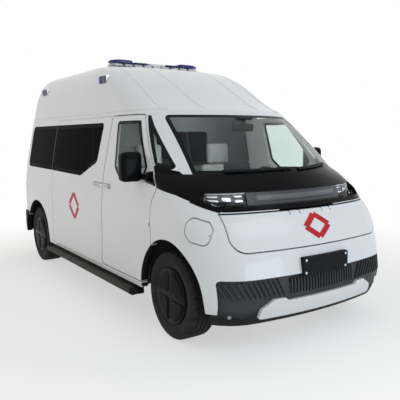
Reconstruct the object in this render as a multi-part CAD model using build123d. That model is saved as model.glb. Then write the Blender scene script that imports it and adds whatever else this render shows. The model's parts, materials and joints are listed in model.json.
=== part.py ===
"""Compact high-roof electric ambulance van, in millimetres. X forward, Y left, Z up, ground at Z = 0.

Positions along the vehicle in the tables below are measured from the front axle; at_x() moves them
to the frame, whose origin is under the middle of the overall length.
"""
import os
from collections import namedtuple
from math import atan2, cos, hypot, pi, radians, sin, sqrt

from build123d import *

os.makedirs("parts", exist_ok=True)

# Overall layout
WHEELBASE = 3300.0
FRONT_OVERHANG = 740.0
REAR_OVERHANG = 635.0
LENGTH = WHEELBASE + FRONT_OVERHANG + REAR_OVERHANG
FRONT_AXLE = LENGTH / 2 - FRONT_OVERHANG
REACH = 1400.0          # half length of the cutting prisms, wider than the vehicle

# Wheels
TYRE_RADIUS = 347.0
TYRE_WIDTH = 225.0
TYRE_FACE = 964.0       # outer face of the tyre from the centre plane
RIM_RADIUS = 205.0
COVER_RADIUS = 222.0
SPINDLE_RADIUS = 30.0
KINGPIN_Y = 770.0
KINGPIN_RADIUS = 16.0
FRONT_ARCH = 448.0
REAR_ARCH = 443.0
LINER = 7.0             # wall of a wheel liner

# Panels and gaps
SHUT = 10.0             # gap round a moving panel
GLASS = 6.0
BONNET_WALL = 26.0
GROOVE = 8.0            # groove round a fixed panel, wide and deep
REBATE = 40.0           # width of the frame behind the edge of a bonded side window
SEAT_FIT = 0.3          # clearance of a pin in its bore
PIN = 5.0               # radius of the door pins

SILL_Z = 314.0
BELT_Z = 1297.0
BAND_Z = 1030.0
GUTTER_Z = 1825.0
FLOOR_TOP = 362.0
FLOOR_WALL = 30.0

# Outer skin as stacked plan outlines, in four blocks of height
Row = namedtuple("Row", "z nose half front_r corner_r tail tail_r")
Block = namedtuple("Block", "rows wall rake")   # rake: horizontal depth of the front per depth of wall
BELT_ROW = Row(BELT_Z, 313, 962, 1250, 490, -3868, 150)
BAND_ROW = Row(BAND_Z, 546, 985, 2700, 470, -3888, 150)
GUTTER_ROW = Row(GUTTER_Z, -372, 869, 1250, 390, -3825, 150)
LOWER = Block([Row(215, 668, 950, 3400, 420, -3885, 150), Row(340, 725, 982, 3400, 410, -3912, 150),
               Row(520, 732, 988, 3400, 435, -3920, 150), Row(760, 690, 990, 3200, 450, -3908, 150),
               BAND_ROW], 60.0, 1.05)
COWL = Block([BAND_ROW, Row(1160, 446, 978, 2000, 470, -3879, 150), BELT_ROW], 60.0, 1.35)
GREEN = Block([BELT_ROW, Row(1550, 6, 918, 1250, 440, -3850, 150), GUTTER_ROW], 35.0, 1.6)
ROOF = Block([GUTTER_ROW, Row(1990, -745, 842, 1450, 320, -3795, 160),
              Row(2130, -1010, 818, 1700, 270, -3750, 180), Row(2240, -1260, 776, 1900, 250, -3690, 200),
              Row(2338, -1700, 650, 1900, 240, -3560, 220)], 40.0, 2.8)
LAMP_FACE = Block([Row(1046, 465, 952, 2300, 460, -3600, 150), Row(1174, 424, 948, 2000, 455, -3600, 150)],
                  42.0, 1.05)

# Side-view outlines (x, z, corner radius)
DOOR_SIDE = [(-1258, 365, 40), (-262, 365, 40), (-252, 1060, 120), (-160, 1185, 25), (-285, 1362, 60),
             (-640, 1786, 45), (-1163, 1786, 45), (-1221, 1029, 300)]
DOOR_GLASS = [(-985, 1318, 60), (-860, 1222, 60), (-400, 1240, 25), (-352, 1345, 25),
              (-635, 1734, 30), (-1040, 1736, 40)]
QUARTER_GLASS = [(-40, 1318, 18), (-590, 1772, 14), (-262, 1358, 18)]
BAND_EDGE = [(900, BAND_Z), (420, 1036), (362, 1056), (216, 1107), (78, 1147), (-160, 1185)]
BAND_TOP = [(-276, 1352), (-262, 1358), (-40, 1318), (-5, BELT_Z), (900, BELT_Z)]
SLIDE_SIDE = [(-2700, 345, 40), (-1262, 345, 40), (-1225, 1029, 300), (-1167, 1786, 40), (-2700, 1786, 60)]
SLIDE_GLASS = [(-2696, 1205, 12), (-1800, 1190, 60), (-1400, 1345, 60), (-1345, 1728, 40), (-2696, 1728, 12)]
REAR_SIDE_GLASS = [(-3650, 1215, 70), (-2704, 1205, 12), (-2704, 1728, 12), (-3640, 1728, 80)]
LEFT_SIDE_GLASS = [(-2696, 1205, 12), (-1500, 1205, 60), (-1345, 1345, 60), (-1345, 1728, 40),
                   (-2696, 1728, 12)]
BUMPER_SIDE = [(900, 835, 0), (520, 835, 0), (300, 690, 0), (300, 100, 0), (900, 100, 0)]
FLAP_SIDE = [(250, 885, 34), (300, 828, 40), (425, 806, 34), (443, 840, 34), (443, 920, 40),
             (400, 972, 40), (285, 1002, 34), (250, 960, 34)]

# Front and rear views (y, z, corner radius)
WINDSCREEN = [(-772, BELT_Z, 0), (772, BELT_Z, 0), (704, 1780, 60), (-704, 1780, 60)]
BONNET_FRONT = [(-782, 757, 110), (782, 757, 110), (782, 1200, 0), (-782, 1200, 0)]
GRILLE_FRONT = [(-876, 100, 0), (876, 100, 0), (890, 570, 30), (-890, 570, 30)]
LIP_FRONT = [(-615, 262, 30), (615, 262, 30), (590, 345, 30), (486, 408, 20), (392, 408, 20), (366, 384, 20),
             (-366, 384, 20), (-392, 408, 20), (-486, 408, 20), (-590, 345, 30)]
REAR_DOOR = [(5, 622, 12), (812, 622, 40), (806, 1080, 200), (735, 1786, 60), (5, 1786, 12)]
REAR_GLASS = [(95, 1180, 50), (715, 1180, 60), (655, 1700, 60), (95, 1700, 50)]


def at_x(x):
    """Place along the vehicle in the frame, from a place measured from the front axle."""
    return x + FRONT_AXLE


def box(x0, x1, y0, y1, z0, z1):
    """Axis-aligned box between limits, x measured from the front axle."""
    return Pos(at_x((x0 + x1) / 2), (y0 + y1) / 2, (z0 + z1) / 2) * Box(x1 - x0, y1 - y0, z1 - z0)


def rod(start, end, radius):
    """Cylinder between two points in the frame."""
    a, b = Vector(*start), Vector(*end)
    return Solid.make_cylinder(radius, (b - a).length, Plane(origin=a, z_dir=b - a))


def across(x, y0, y1, z, radius):
    """Cylinder across the vehicle, x measured from the front axle."""
    return rod((at_x(x), y0, z), (at_x(x), y1, z), radius)


def grow(points, distance):
    """Outline of (a, b, radius) corners moved outward by distance."""
    area = sum(p[0] * q[1] - q[0] * p[1] for p, q in zip(points, points[1:] + points[:1]))
    side = 1 if area > 0 else -1
    out = []
    for i, (a, b, r) in enumerate(points):
        (pa, pb, _), (na, nb, _) = points[i - 1], points[(i + 1) % len(points)]
        ia, ib, oa, ob = a - pa, b - pb, na - a, nb - b
        il, ol = hypot(ia, ib), hypot(oa, ob)
        n0, n1 = (side * ib / il, -side * ia / il), (side * ob / ol, -side * oa / ol)
        k = distance / (1 + n0[0] * n1[0] + n0[1] * n1[1])
        turn = side * (ia * ob - ib * oa)
        out.append((a + k * (n0[0] + n1[0]), b + k * (n0[1] + n1[1]),
                    max(r + (distance if turn > 0 else -distance), 0) if r else 0))
    return out


def rounded(points, place):
    """Face from (a, b, radius) corners; place(a, b) gives the point in the frame."""
    corners = []
    for i, (a, b, r) in enumerate(points):
        p, q = points[i - 1], points[(i + 1) % len(points)]
        u, v = Vector(p[0] - a, p[1] - b).normalized(), Vector(q[0] - a, q[1] - b).normalized()
        if not r:
            corners.append([(a, b)])
            continue
        half = radians(u.get_angle(v)) / 2
        back = r * cos(half) / sin(half)
        way = (u + v).normalized()
        tip = (a + way.X * (r / sin(half) - r), b + way.Y * (r / sin(half) - r))
        corners.append([(a + u.X * back, b + u.Y * back), tip, (a + v.X * back, b + v.Y * back)])
    edges = []
    for i, corner in enumerate(corners):
        if len(corner) == 3:
            edges.append(Edge.make_three_point_arc(*[place(*p) for p in corner]))
        ahead = corners[(i + 1) % len(corners)][0]
        edges.append(Edge.make_line(place(*corner[-1]), place(*ahead)))
    return Face(Wire(edges))


def side_cut(points, y0=-REACH, y1=REACH):
    """Prism across the vehicle from a side-view outline."""
    if len(points[0]) == 2:
        points = [(*p, 0) for p in points]
    face = rounded(points, lambda a, b: Vector(at_x(a), y0, b))
    return Solid.extrude(face, Vector(0, y1 - y0, 0))


def front_cut(points, x0, x1):
    """Prism along the vehicle from a front-view outline."""
    face = rounded(points, lambda a, b: Vector(at_x(x0), a, b))
    return Solid.extrude(face, Vector(x1 - x0, 0, 0))


def plan_wire(row, z):
    """Closed plan outline of one height: bowed front, corner arcs, straight sides, rear corners."""
    bow_x, corner_y = row.nose - row.front_r, row.half - row.corner_r
    corner_x = bow_x + sqrt((row.front_r - row.corner_r) ** 2 - corner_y ** 2)
    turn = atan2(corner_y, corner_x - bow_x)
    mid = (turn + pi / 2) / 2
    tx, ty = bow_x + row.front_r * cos(turn), row.front_r * sin(turn)
    mx, my = corner_x + row.corner_r * cos(mid), corner_y + row.corner_r * sin(mid)
    rx, ry = row.tail + row.tail_r, row.half - row.tail_r
    kx, ky = rx - row.tail_r * sqrt(0.5), ry + row.tail_r * sqrt(0.5)

    def at(x, y):
        return Vector(at_x(x), y, z)

    arc, line = Edge.make_three_point_arc, Edge.make_line
    return Wire([arc(at(tx, -ty), at(row.nose, 0), at(tx, ty)),
                 arc(at(tx, ty), at(mx, my), at(corner_x, row.half)),
                 line(at(corner_x, row.half), at(rx, row.half)),
                 arc(at(rx, row.half), at(kx, ky), at(row.tail, ry)),
                 line(at(row.tail, ry), at(row.tail, -ry)),
                 arc(at(row.tail, -ry), at(kx, -ky), at(rx, -row.half)),
                 line(at(rx, -row.half), at(corner_x, -row.half)),
                 arc(at(corner_x, -row.half), at(mx, -my), at(tx, -ty))])


def block_solid(block, depth=0.0, drop=0.0, dip=0.0):
    """Loft of one block, its skin moved in by depth, its top lowered by drop and its foot by dip."""
    wires = []
    for i, row in enumerate(block.rows):
        front = depth * block.rake
        z = row.z - (drop if row is block.rows[-1] else 0) - (dip if i == 0 else 0)
        wires.append(plan_wire(Row(z, row.nose - front, row.half - depth, row.front_r - front,
                                   row.corner_r - depth, row.tail + depth, row.tail_r - depth), z))
    return Solid.make_loft(wires)


def hull(blocks, depth=None):
    """Fused blocks, each moved in by depth, or by its own wall."""
    parts = [block_solid(b, b.wall if depth is None else depth,
                         dip=20 if b is LOWER and depth != 0 else 0) for b in blocks]
    whole = parts[0]
    for p in parts[1:]:
        whole = whole.fuse(p)
    return whole


def solids(shape):
    """Solids of a shape, without slivers."""
    return [s for s in shape.solids() if s.volume > 50]


def save(name, *shapes):
    """Write one node from the solids of the shapes."""
    pieces = [s for shape in shapes for s in solids(shape)]
    export_step(pieces[0] if len(pieces) == 1 else Compound(children=pieces), f"parts/{name}.step")


def both(make):
    """The right-hand piece (side -1) and the left-hand piece (side 1)."""
    return [make(-1), make(1)]


def half_space(side, y0=0.0):
    """Big box on one side of the centre plane."""
    limits = sorted((side * y0, side * REACH))
    return box(-5000, 2000, *limits, -100, 3000)


outer_low = hull([LOWER, COWL, GREEN], 0)
inner_low = hull([LOWER, COWL, GREEN])
shell = outer_low - inner_low
glass_layer = hull([COWL, GREEN], 0) - hull([COWL, GREEN], GLASS)
arches = [across(x, -REACH, REACH, TYRE_RADIUS, r) for x, r in ((0, FRONT_ARCH), (-WHEELBASE, REAR_ARCH))]

# Zones of the front
band_zone = side_cut(BAND_EDGE + BAND_TOP)
front_zone = side_cut([(900, 100), (-252, 100), (-252, 1060)] + BAND_EDGE[::-1])
bonnet_zone = front_cut(BONNET_FRONT, 250, 900) & box(250, 900, -900, 900, 700, BAND_Z)
bumper_zone = side_cut(BUMPER_SIDE)
grille_zone = front_cut(GRILLE_FRONT, 300, 900)


def high_roof():
    """Roof moulding above the gutter, with its front slope."""
    return block_solid(ROOF) - block_solid(ROOF, ROOF.wall, drop=ROOF.wall)


DOOR_AXIS = (-268.0, 981.0)         # x, |y| of the vertical hinge axis of a front door
DOOR_HINGE_Z = 880.0                # middle of its hinge leaf
REAR_AXIS = (-3909.0, 800.0)        # of a rear door
REAR_PIN = 4.0
REAR_PIN_Z = (609.0, 672.0)         # ends of the pin under a rear door
LEAF = 16.0                         # height of a hinge leaf
LEAF_ROOM = 12.0                    # room round a hinge leaf


def upright(side, axis, z0, z1, radius):
    """Vertical rod on a hinge axis."""
    x, y = at_x(axis[0]), side * axis[1]
    return rod((x, y, z0), (x, y, z1), radius)


def door_leaf(side):
    """Hinge leaf on the wing's rear edge, with its pin."""
    x, y = DOOR_AXIS
    limits = sorted((side * (y - 6), side * (y + 6)))
    leaf = box(x, -240, *limits, DOOR_HINGE_Z - LEAF / 2, DOOR_HINGE_Z + LEAF / 2)
    return leaf + upright(side, DOOR_AXIS, DOOR_HINGE_Z - 40, DOOR_HINGE_Z + 40, PIN)


def door_leaf_room(side):
    """Bore for the pin and the open notch in which the leaf turns."""
    x, y = DOOR_AXIS
    high = LEAF / 2 + LEAF_ROOM / 2
    notch = box(x - LEAF_ROOM, -200, *sorted((side * (y - 22), side * REACH)),
                DOOR_HINGE_Z - high, DOOR_HINGE_Z + high)
    return notch + upright(side, DOOR_AXIS, DOOR_HINGE_Z - 42, DOOR_HINGE_Z + 42, PIN + SEAT_FIT)


def front_door(side):
    """Front door as thick as the wall, with its window cut and its pull handle."""
    cut = side_cut(grow(DOOR_SIDE, -SHUT / 2), *sorted((side * 400, side * REACH)))
    door = (shell & cut) - side_cut(DOOR_GLASS) - arches[0]
    door = door - door_leaf_room(side)
    return door + handle(side, -1150, 1132)


def handle(side, x, z):
    """Flat pull handle on the skin."""
    pad = side_cut([(x - 88, z - 16, 12), (x + 88, z - 16, 12), (x + 88, z + 16, 12), (x - 88, z + 16, 12)],
                   *sorted((side * 950, side * 1002)))
    return pad - outer_low


def door_glass(side, outline):
    cut = side_cut(outline, *sorted((side * 400, side * REACH)))
    return glass_layer & cut


def sliding_door():
    """Right-hand sliding door, held shut: it moves out and then back, so it has no joint."""
    cut = side_cut(SLIDE_SIDE, -REACH, -400)
    door = (shell & cut) - side_cut(grow(SLIDE_GLASS, -REBATE)) - door_glass(-1, SLIDE_GLASS)
    edge = side_cut(SLIDE_SIDE, -REACH, -400) - side_cut(grow(SLIDE_SIDE, -GROOVE), -REACH, -400)
    groove = (outer_low - hull([LOWER, COWL, GREEN], GROOVE)) & edge
    return (door - groove) + handle(-1, -1345, 1132)


def rear_door(side):
    """One of two rear doors, hinged at the rear corner."""
    points = [(side * y, z, r) for y, z, r in grow(REAR_DOOR, -SHUT / 2)]
    door = shell & front_cut(points, -4000, -3700)
    door = door - front_cut([(side * y, z, r) for y, z, r in REAR_GLASS], -4000, -3700)
    z0, z1 = REAR_PIN_Z
    return door - upright(side, REAR_AXIS, z0 - 30, z1 + 2, REAR_PIN + SEAT_FIT)


def rear_glass(side):
    return glass_layer & front_cut([(side * y, z, r) for y, z, r in REAR_GLASS], -4000, -3700)


def body_shell():
    """Sides, sills, pillars, window header and rear frame, in one pressing."""
    body = shell - box(-5000, 2000, -REACH, REACH, 0, SILL_Z)
    body = body - front_zone - band_zone
    for side in (-1, 1):
        limits = sorted((side * 400, side * REACH))
        body = body - side_cut(grow(DOOR_SIDE, SHUT / 2), *limits)
        body = body - side_cut(QUARTER_GLASS, *limits)
        body = body - front_cut([(side * y, z, r) for y, z, r in grow(REAR_DOOR, SHUT / 2)], -4000, -3700)
        body = body - side_cut(grow(REAR_SIDE_GLASS, -REBATE), *limits) - door_glass(side, REAR_SIDE_GLASS)
    body = body - side_cut(SLIDE_SIDE, -REACH, -400)
    body = body - side_cut(grow(LEFT_SIDE_GLASS, -REBATE), 400, REACH) - door_glass(1, LEFT_SIDE_GLASS)
    body = body - front_cut(WINDSCREEN, -700, 600)
    body = body - arches[0] - arches[1] - bumper_space
    body = body - tail_lamp_zone
    pins = both(lambda side: upright(side, REAR_AXIS, *REAR_PIN_Z, REAR_PIN))
    return (body + pins[0]) + pins[1]


bumper_space = side_cut([(-3690, 100), (-3690, 607), (-4100, 607), (-4100, 100)])
tail_lamp_zone = (outer_low - hull([LOWER, COWL], 24)) & (
    box(-3950, -3800, -970, -826, 880, 1240) + box(-3950, -3800, 826, 970, 880, 1240))
body = body_shell()
save("body_shell", max(solids(body), key=lambda s: s.volume))
save("high_roof", high_roof())
for side, name in ((-1, "right"), (1, "left")):
    save(f"front_door_{name}", front_door(side))
    save(f"front_door_glass_{name}", door_glass(side, DOOR_GLASS))
    save(f"rear_door_{name}", rear_door(side))
    save(f"rear_door_glass_{name}", rear_glass(side))
save("sliding_door", sliding_door())
save("quarter_glass", *both(lambda side: door_glass(side, QUARTER_GLASS)))
save("side_glass", door_glass(-1, SLIDE_GLASS), *both(lambda side: door_glass(side, REAR_SIDE_GLASS)),
     door_glass(1, LEFT_SIDE_GLASS))
save("windscreen", glass_layer & front_cut(WINDSCREEN, -700, 600))


BONNET_TOP = 1018.0
BONNET_AXIS = (541.0, 1010.0)       # x, z of the bonnet's hinge axis, just behind its upper edge
BARREL = 9.0
BONNET_HINGES = (130.0, 210.0)      # |y| limits of each hinge barrel
LUG, LUG_OUT, LUG_ROOM = 6.0, 12.0, 5.0     # thickness of a lug, its reach past the barrel, room beside it
GRILLE_DEPTH = 24.0
GRILLE_FOOT = 222.0
WHITE_FOOT = 321.0                  # lower edge of the painted bumper
PLATE = (480.0, 140.0, 618.0)       # width, height, middle height of the plate bracket
PLATE_HOLES = (430.0, 96.0, 3.5)    # spacing across, spacing up, radius
BOLT_END, BOLT_ROOM = 665.0, 6.0    # inner end and radius of the blind holes behind them
LAMP_Z = (1070.0, 1167.0)
LAMP_END_X = 225.0
LAMP_BAR_HALF = 500.0
FLAP_WALL = 14.0
FLAP_PIN = 3.0
FLAP_POINT = (434.0, -877.0, 882.0)     # on the flap's hinge axis, which leans with the skin
FLAP_LEAN = 0.39                        # its run in y per rise
FLAP_STUB = (464.0, -846.0, 3.5)        # inner end and radius of the stub that holds the pin

low_outer, low_grille = block_solid(LOWER), block_solid(LOWER, GRILLE_DEPTH, dip=20)
low_flap, low_pocket = block_solid(LOWER, FLAP_WALL, dip=20), block_solid(LOWER, FLAP_WALL + 14, dip=20)
bonnet_gap = front_cut(grow(BONNET_FRONT, SHUT / 2), 250, 900) & box(250, 900, -900, 900, 700, BAND_Z)
front_shell = (shell & front_zone) - arches[0] - bonnet_gap
for side in (-1, 1):
    front_shell = front_shell - side_cut(grow(DOOR_SIDE, SHUT / 2), *sorted((side * 400, side * REACH)))


def flap_pin(half, radius):
    """Rod on the leaning hinge axis of the charge flap."""
    x, y, z = FLAP_POINT
    return rod((at_x(x), y - FLAP_LEAN * half, z - half), (at_x(x), y + FLAP_LEAN * half, z + half), radius)


def flap_hinge():
    """Pin of the charge flap with the stub that holds it to the wing."""
    x, y, z = FLAP_POINT
    end_x, end_y, radius = FLAP_STUB
    return flap_pin(28, FLAP_PIN) + rod((at_x(x), y, z), (at_x(end_x), end_y, z), radius)


def flap_room():
    """Bore for the pin and the notch in which the stub stands."""
    x, y, z = FLAP_POINT
    return flap_pin(29, FLAP_PIN + SEAT_FIT) + box(x - 7, x + 60, y - 60, y + 30, z - 8, z + 8)


def front_wings():
    """Right and left wing with a door hinge leaf each, the right one with the pocket of the charge flap."""
    zone = (front_shell - bumper_zone) - box(-5000, 2000, -REACH, REACH, 0, SILL_Z)
    wings = []
    for side in (-1, 1):
        wing = max(solids(zone & half_space(side, 300)), key=lambda s: s.volume)
        if side < 0:
            wing = wing - ((low_outer - low_pocket) & side_cut(grow(FLAP_SIDE, SHUT / 2), -REACH, -400))
            wing = wing + flap_hinge()
        wings.append(wing + door_leaf(side))
    return wings


def charge_flap():
    """Small lid over the charging inlet, hinged at its front edge."""
    flap = (low_outer - low_flap) & side_cut(grow(FLAP_SIDE, -SHUT / 2), -REACH, -400)
    return flap - flap_room()


def bonnet():
    """Service flap between the lamps and the bumper, hinged along its upper edge."""
    skin = low_outer - block_solid(LOWER, BONNET_WALL, dip=20)
    skin = skin & front_cut(grow(BONNET_FRONT, -SHUT / 2), 250, 900)
    skin = skin & box(250, 900, -900, 900, 700, BONNET_TOP)
    x, z = at_x(BONNET_AXIS[0]), BONNET_AXIS[1]
    y0, y1 = BONNET_HINGES
    for side in (-1, 1):
        skin = skin + rod((x, side * y0, z), (x, side * y1, z), BARREL)
        for y in (y0 - LUG_OUT, y1 + LUG_OUT - LUG):
            limits = sorted((side * (y - LUG_ROOM), side * (y + LUG + LUG_ROOM)))
            skin = skin - box(BONNET_AXIS[0] - 30, 700, *limits, z - 16, z + 40)
        skin = skin - rod((x, side * (y0 - 20), z), (x, side * (y1 + 20), z), PIN + SEAT_FIT)
    return skin


def bonnet_hangers():
    """Pins of the bonnet hinges with the lugs that hang from the band panel."""
    x, z = at_x(BONNET_AXIS[0]), BONNET_AXIS[1]
    y0, y1 = BONNET_HINGES
    parts = []
    for side in (-1, 1):
        parts.append(rod((x, side * (y0 - LUG_OUT), z), (x, side * (y1 + LUG_OUT), z), PIN))
        for y in (y0 - LUG_OUT, y1 + LUG_OUT - LUG):
            limits = sorted((side * y, side * (y + LUG)))
            parts.append(box(BONNET_AXIS[0] - 26, BONNET_AXIS[0] + 4, *limits, z - 6, BAND_Z + 8))
    return parts


def grille():
    """Dark lower front: recessed panel with upright slats in the middle and slanting ribs beside them."""
    panel = (front_shell & bumper_zone & grille_zone) - (low_outer - low_grille)
    panel = panel - box(200, 900, -REACH, REACH, 0, GRILLE_FOOT)
    rib_layer = block_solid(LOWER, 6.0) - low_grille
    strips = [box(560, 760, 30.0 * i - 5, 30.0 * i + 5, 424, 546) for i in range(-11, 12)]
    for side in (-1, 1):
        for i in range(12):
            y = side * (386 + 40 * i)
            top = y + side * 62
            slant = [(y - 5, 428, 0), (y + 5, 428, 0), (top + 5, 550, 0), (top - 5, 550, 0)]
            strips.append(front_cut(slant, 300, 760))
    ribs = rib_layer & grille_inside & Compound(children=strips)
    panel = panel.fuse(*ribs.solids())
    return panel


def bumper():
    """Painted bumper above and beside the dark lower front."""
    piece = (front_shell & bumper_zone) - grille_zone - box(200, 900, -REACH, REACH, 0, WHITE_FOOT)
    for y, z in plate_bolts():
        piece = piece - rod((at_x(BOLT_END), y, z), (at_x(FRONT_OVERHANG), y, z), BOLT_ROOM)
    return piece


def plate_bolts():
    """Places (y, z) of the plate's bolts."""
    across, up, _ = PLATE_HOLES
    return [(y, PLATE[2] + z) for y in (-across / 2, across / 2) for z in (-up / 2, up / 2)]


def plate_bracket():
    """Flat bracket on the bumper with four bolt holes."""
    width, high, mid = PLATE
    low, top = mid - high / 2, mid + high / 2
    face = [(-width / 2, low, 12), (width / 2, low, 12), (width / 2, top, 12), (-width / 2, top, 12)]
    plate = front_cut(face, 640, FRONT_OVERHANG) - outer_low
    for y, z in plate_bolts():
        plate = plate - rod((at_x(600), y, z), (at_x(800), y, z), PLATE_HOLES[2])
    return plate


grille_inside = front_cut(grow(GRILLE_FRONT, -12), 300, 900)
save("front_wings", *front_wings())
save("charge_flap", charge_flap())
save("bonnet", bonnet())
save("front_bumper", max(solids(bumper()), key=lambda s: s.volume))
save("bumper_grille", max(solids(grille()), key=lambda s: s.volume))
save("bumper_lip", (low_outer - low_grille) & front_cut(LIP_FRONT, 300, 900))
save("plate_bracket", plate_bracket())

lamp_slot = box(LAMP_END_X, 900, -REACH, REACH, *LAMP_Z) & band_zone
lamp_body = (block_solid(LAMP_FACE) - block_solid(LAMP_FACE, LAMP_FACE.wall)) & lamp_slot
lamp_mid = box(0, 900, -LAMP_BAR_HALF, LAMP_BAR_HALF, 1000, 1200)
nose = (shell & band_zone) - lamp_slot
for side in (-1, 1):
    nose = nose - side_cut(grow(DOOR_SIDE, SHUT / 2), *sorted((side * 400, side * REACH)))
for lug in bonnet_hangers():
    nose = nose + lug
save("nose_panel", nose)
save("headlamps", lamp_body - lamp_mid)
save("lamp_bar", lamp_body & lamp_mid)
save("tail_lamps", tail_lamp_zone)

RAIL = (480.0, 540.0, 262.0)        # |y| limits and underside of the two long rails
ARM_Z = (215.0, 450.0)              # undersides of the lower and the upper arm of a front wheel
ARM = 30.0                          # thickness of an arm
LINER_WALL_Y = {0: 533.0, -WHEELBASE: 600.0}
FIREWALL_X = 125.0
PARTITION_X = -1345.0
PANEL = 25.0                        # thickness of the firewall and the partition
WHEEL_Y = TYRE_FACE - TYRE_WIDTH / 2
floor_foot = FLOOR_TOP - FLOOR_WALL


def wheel_liner(side, x, radius):
    """Wheel housing: arched cover with an inner wall, inside the body skin."""
    y0 = LINER_WALL_Y[x]
    tube = across(x, side * y0, side * 1000, TYRE_RADIUS, radius + LINER)
    tube = tube - across(x, side * (y0 + LINER), side * 1100, TYRE_RADIUS, radius)
    tube = (tube & inner_low) - box(-5000, 2000, -REACH, REACH, 0, floor_foot)
    return tube - box(-470, -235, *sorted((side * 895, side * REACH)), 0, 900)


def floor_pan():
    """Floor with the long rails under it and the firewall at its front."""
    floor = box(-3850, FIREWALL_X, -925, 925, floor_foot, FLOOR_TOP)
    wall = box(FIREWALL_X, FIREWALL_X + PANEL, -925, 925, floor_foot, 1160)
    floor = (floor + wall) & inner_low
    for x, radius in ((0, FRONT_ARCH), (-WHEELBASE, REAR_ARCH)):
        for side in (-1, 1):
            limits = sorted((side * LINER_WALL_Y[x], side * 1100))
            floor = floor - across(x, *limits, TYRE_RADIUS, radius + LINER)
            floor = floor - box(x - radius - LINER, x + radius + LINER, *limits, 0, TYRE_RADIUS)
    for side in (-1, 1):
        floor = floor + box(-3800, 520, *sorted((side * RAIL[0], side * RAIL[1])), RAIL[2], floor_foot)
    return floor


def spin(edges, x, side):
    """Revolve a closed profile of edges, drawn in (radius, y), about the wheel axis."""
    axis = Axis((at_x(x), 0, TYRE_RADIUS), (0, 1, 0))
    return Solid.revolve(Face(Wire(edges)), 360.0, axis)


def tyre(x, side):
    """Tyre with round shoulders and bulged side walls."""
    def at(r, w):
        return Vector(at_x(x) + r, side * (WHEEL_Y + w), TYRE_RADIUS)

    half, tread = TYRE_WIDTH / 2, 84.0
    arc, line = Edge.make_three_point_arc, Edge.make_line
    edges = [line(at(RIM_RADIUS, -86), at(RIM_RADIUS, 86)),
             line(at(RIM_RADIUS, 86), at(226, 94)),
             arc(at(226, 94), at(282, half), at(324, 105)),
             arc(at(324, 105), at(340, 97), at(TYRE_RADIUS - 2, tread)),
             arc(at(TYRE_RADIUS - 2, tread), at(TYRE_RADIUS, 0), at(TYRE_RADIUS - 2, -tread)),
             arc(at(TYRE_RADIUS - 2, -tread), at(340, -97), at(324, -105)),
             arc(at(324, -105), at(282, -half), at(226, -94)),
             line(at(226, -94), at(RIM_RADIUS, -86))]
    return spin(edges, x, side)


def wheel(x, side):
    """Rim with its disc and a full cover with four swirling blades."""
    def at(r, w):
        return Vector(at_x(x) + r, side * (WHEEL_Y + w), TYRE_RADIUS)

    bore = SPINDLE_RADIUS + SEAT_FIT
    lip, seat = COVER_RADIUS, RIM_RADIUS
    rim = [(bore, 40), (60, 40), (193, 30), (193, -96), (193, -106), (lip, -106), (lip, -97), (seat, -88),
           (seat, 88), (lip, 97), (lip, 103), (190, 107), (60, 107), (55, 104), (0.0, 104), (0.0, 94),
           (186, 94), (193, 60), (193, 48), (60, 56), (bore, 56)]
    points = [at(r, w) for r, w in rim]
    body = spin([Edge.make_line(a, b) for a, b in zip(points, points[1:] + points[:1])], x, side)
    blade = [(52, -40, 8), (205, -75, 14), (196, 28, 14), (120, 22, 20), (58, 42, 10)]
    for i in range(4):
        face = rounded(blade, lambda a, b: Vector(at_x(x) + a, side * (WHEEL_Y + 105), TYRE_RADIUS + b))
        solid = Solid.extrude(face, Vector(0, side * 6.5, 0))
        body = body + solid.rotate(Axis((at_x(x), 0, TYRE_RADIUS), (0, 1, 0)), 90 * i + 20)
    return body


def knuckle(side):
    """Upright that turns on the kingpin and carries the spindle."""
    y0, y1 = KINGPIN_Y - 34, KINGPIN_Y + 36
    block = box(-42, 42, *sorted((side * y0, side * y1)), ARM_Z[0] + ARM + 6, ARM_Z[1] - 6)
    block = block + across(0, side * (y1 - 5), side * (WHEEL_Y + 54), TYRE_RADIUS, SPINDLE_RADIUS)
    return block - upright(side, (0, KINGPIN_Y), 0, 900, KINGPIN_RADIUS + SEAT_FIT)


def front_suspension():
    """Cross member with a lower and an upper arm and a kingpin on each side."""
    beam = box(-70, 70, -RAIL[1], RAIL[1], 178, RAIL[2])
    for side in (-1, 1):
        wall_y = LINER_WALL_Y[0] + LINER
        for z in ARM_Z:
            inner = RAIL[1] - 20 if z == ARM_Z[0] else wall_y
            beam = beam + box(-34, 34, *sorted((side * inner, side * (KINGPIN_Y + 30))), z, z + ARM)
        beam = beam + upright(side, (0, KINGPIN_Y), ARM_Z[0], ARM_Z[1] + ARM, KINGPIN_RADIUS)
    return beam


def rear_axle():
    """Dropped beam with an upright and a spindle at each end, under the rails."""
    x, z = -WHEELBASE, 222.0
    beam = across(x, -750, 750, z, 38)
    for side in (-1, 1):
        beam = beam + box(x - 45, x + 45, *sorted((side * 742, side * 772)), z - 40, TYRE_RADIUS + 60)
        beam = beam + across(x, side * 760, side * (WHEEL_Y + 54), TYRE_RADIUS, SPINDLE_RADIUS)
        beam = beam + box(x - 60, x + 60, *sorted((side * (RAIL[0] + 5), side * (RAIL[1] - 5))), z, RAIL[2])
    return beam


save("floor_pan", floor_pan())
save("wheel_liners", *both(lambda side: wheel_liner(side, 0, FRONT_ARCH)),
     *both(lambda side: wheel_liner(side, -WHEELBASE, REAR_ARCH)))
save("battery_pack", box(-2700, -640, -RAIL[0], RAIL[0], 178, floor_foot))
save("drive_motor", box(FIREWALL_X + PANEL, 430, -330, 330, 178, 520))
save("front_suspension", front_suspension())
save("rear_axle", rear_axle())
for side, name in ((-1, "right"), (1, "left")):
    save(f"knuckle_{name}", knuckle(side))
    for x, end in ((0, "front"), (-WHEELBASE, "rear")):
        save(f"tyre_{end}_{name}", tyre(x, side))
        save(f"wheel_{end}_{name}", wheel(x, side))

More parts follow.
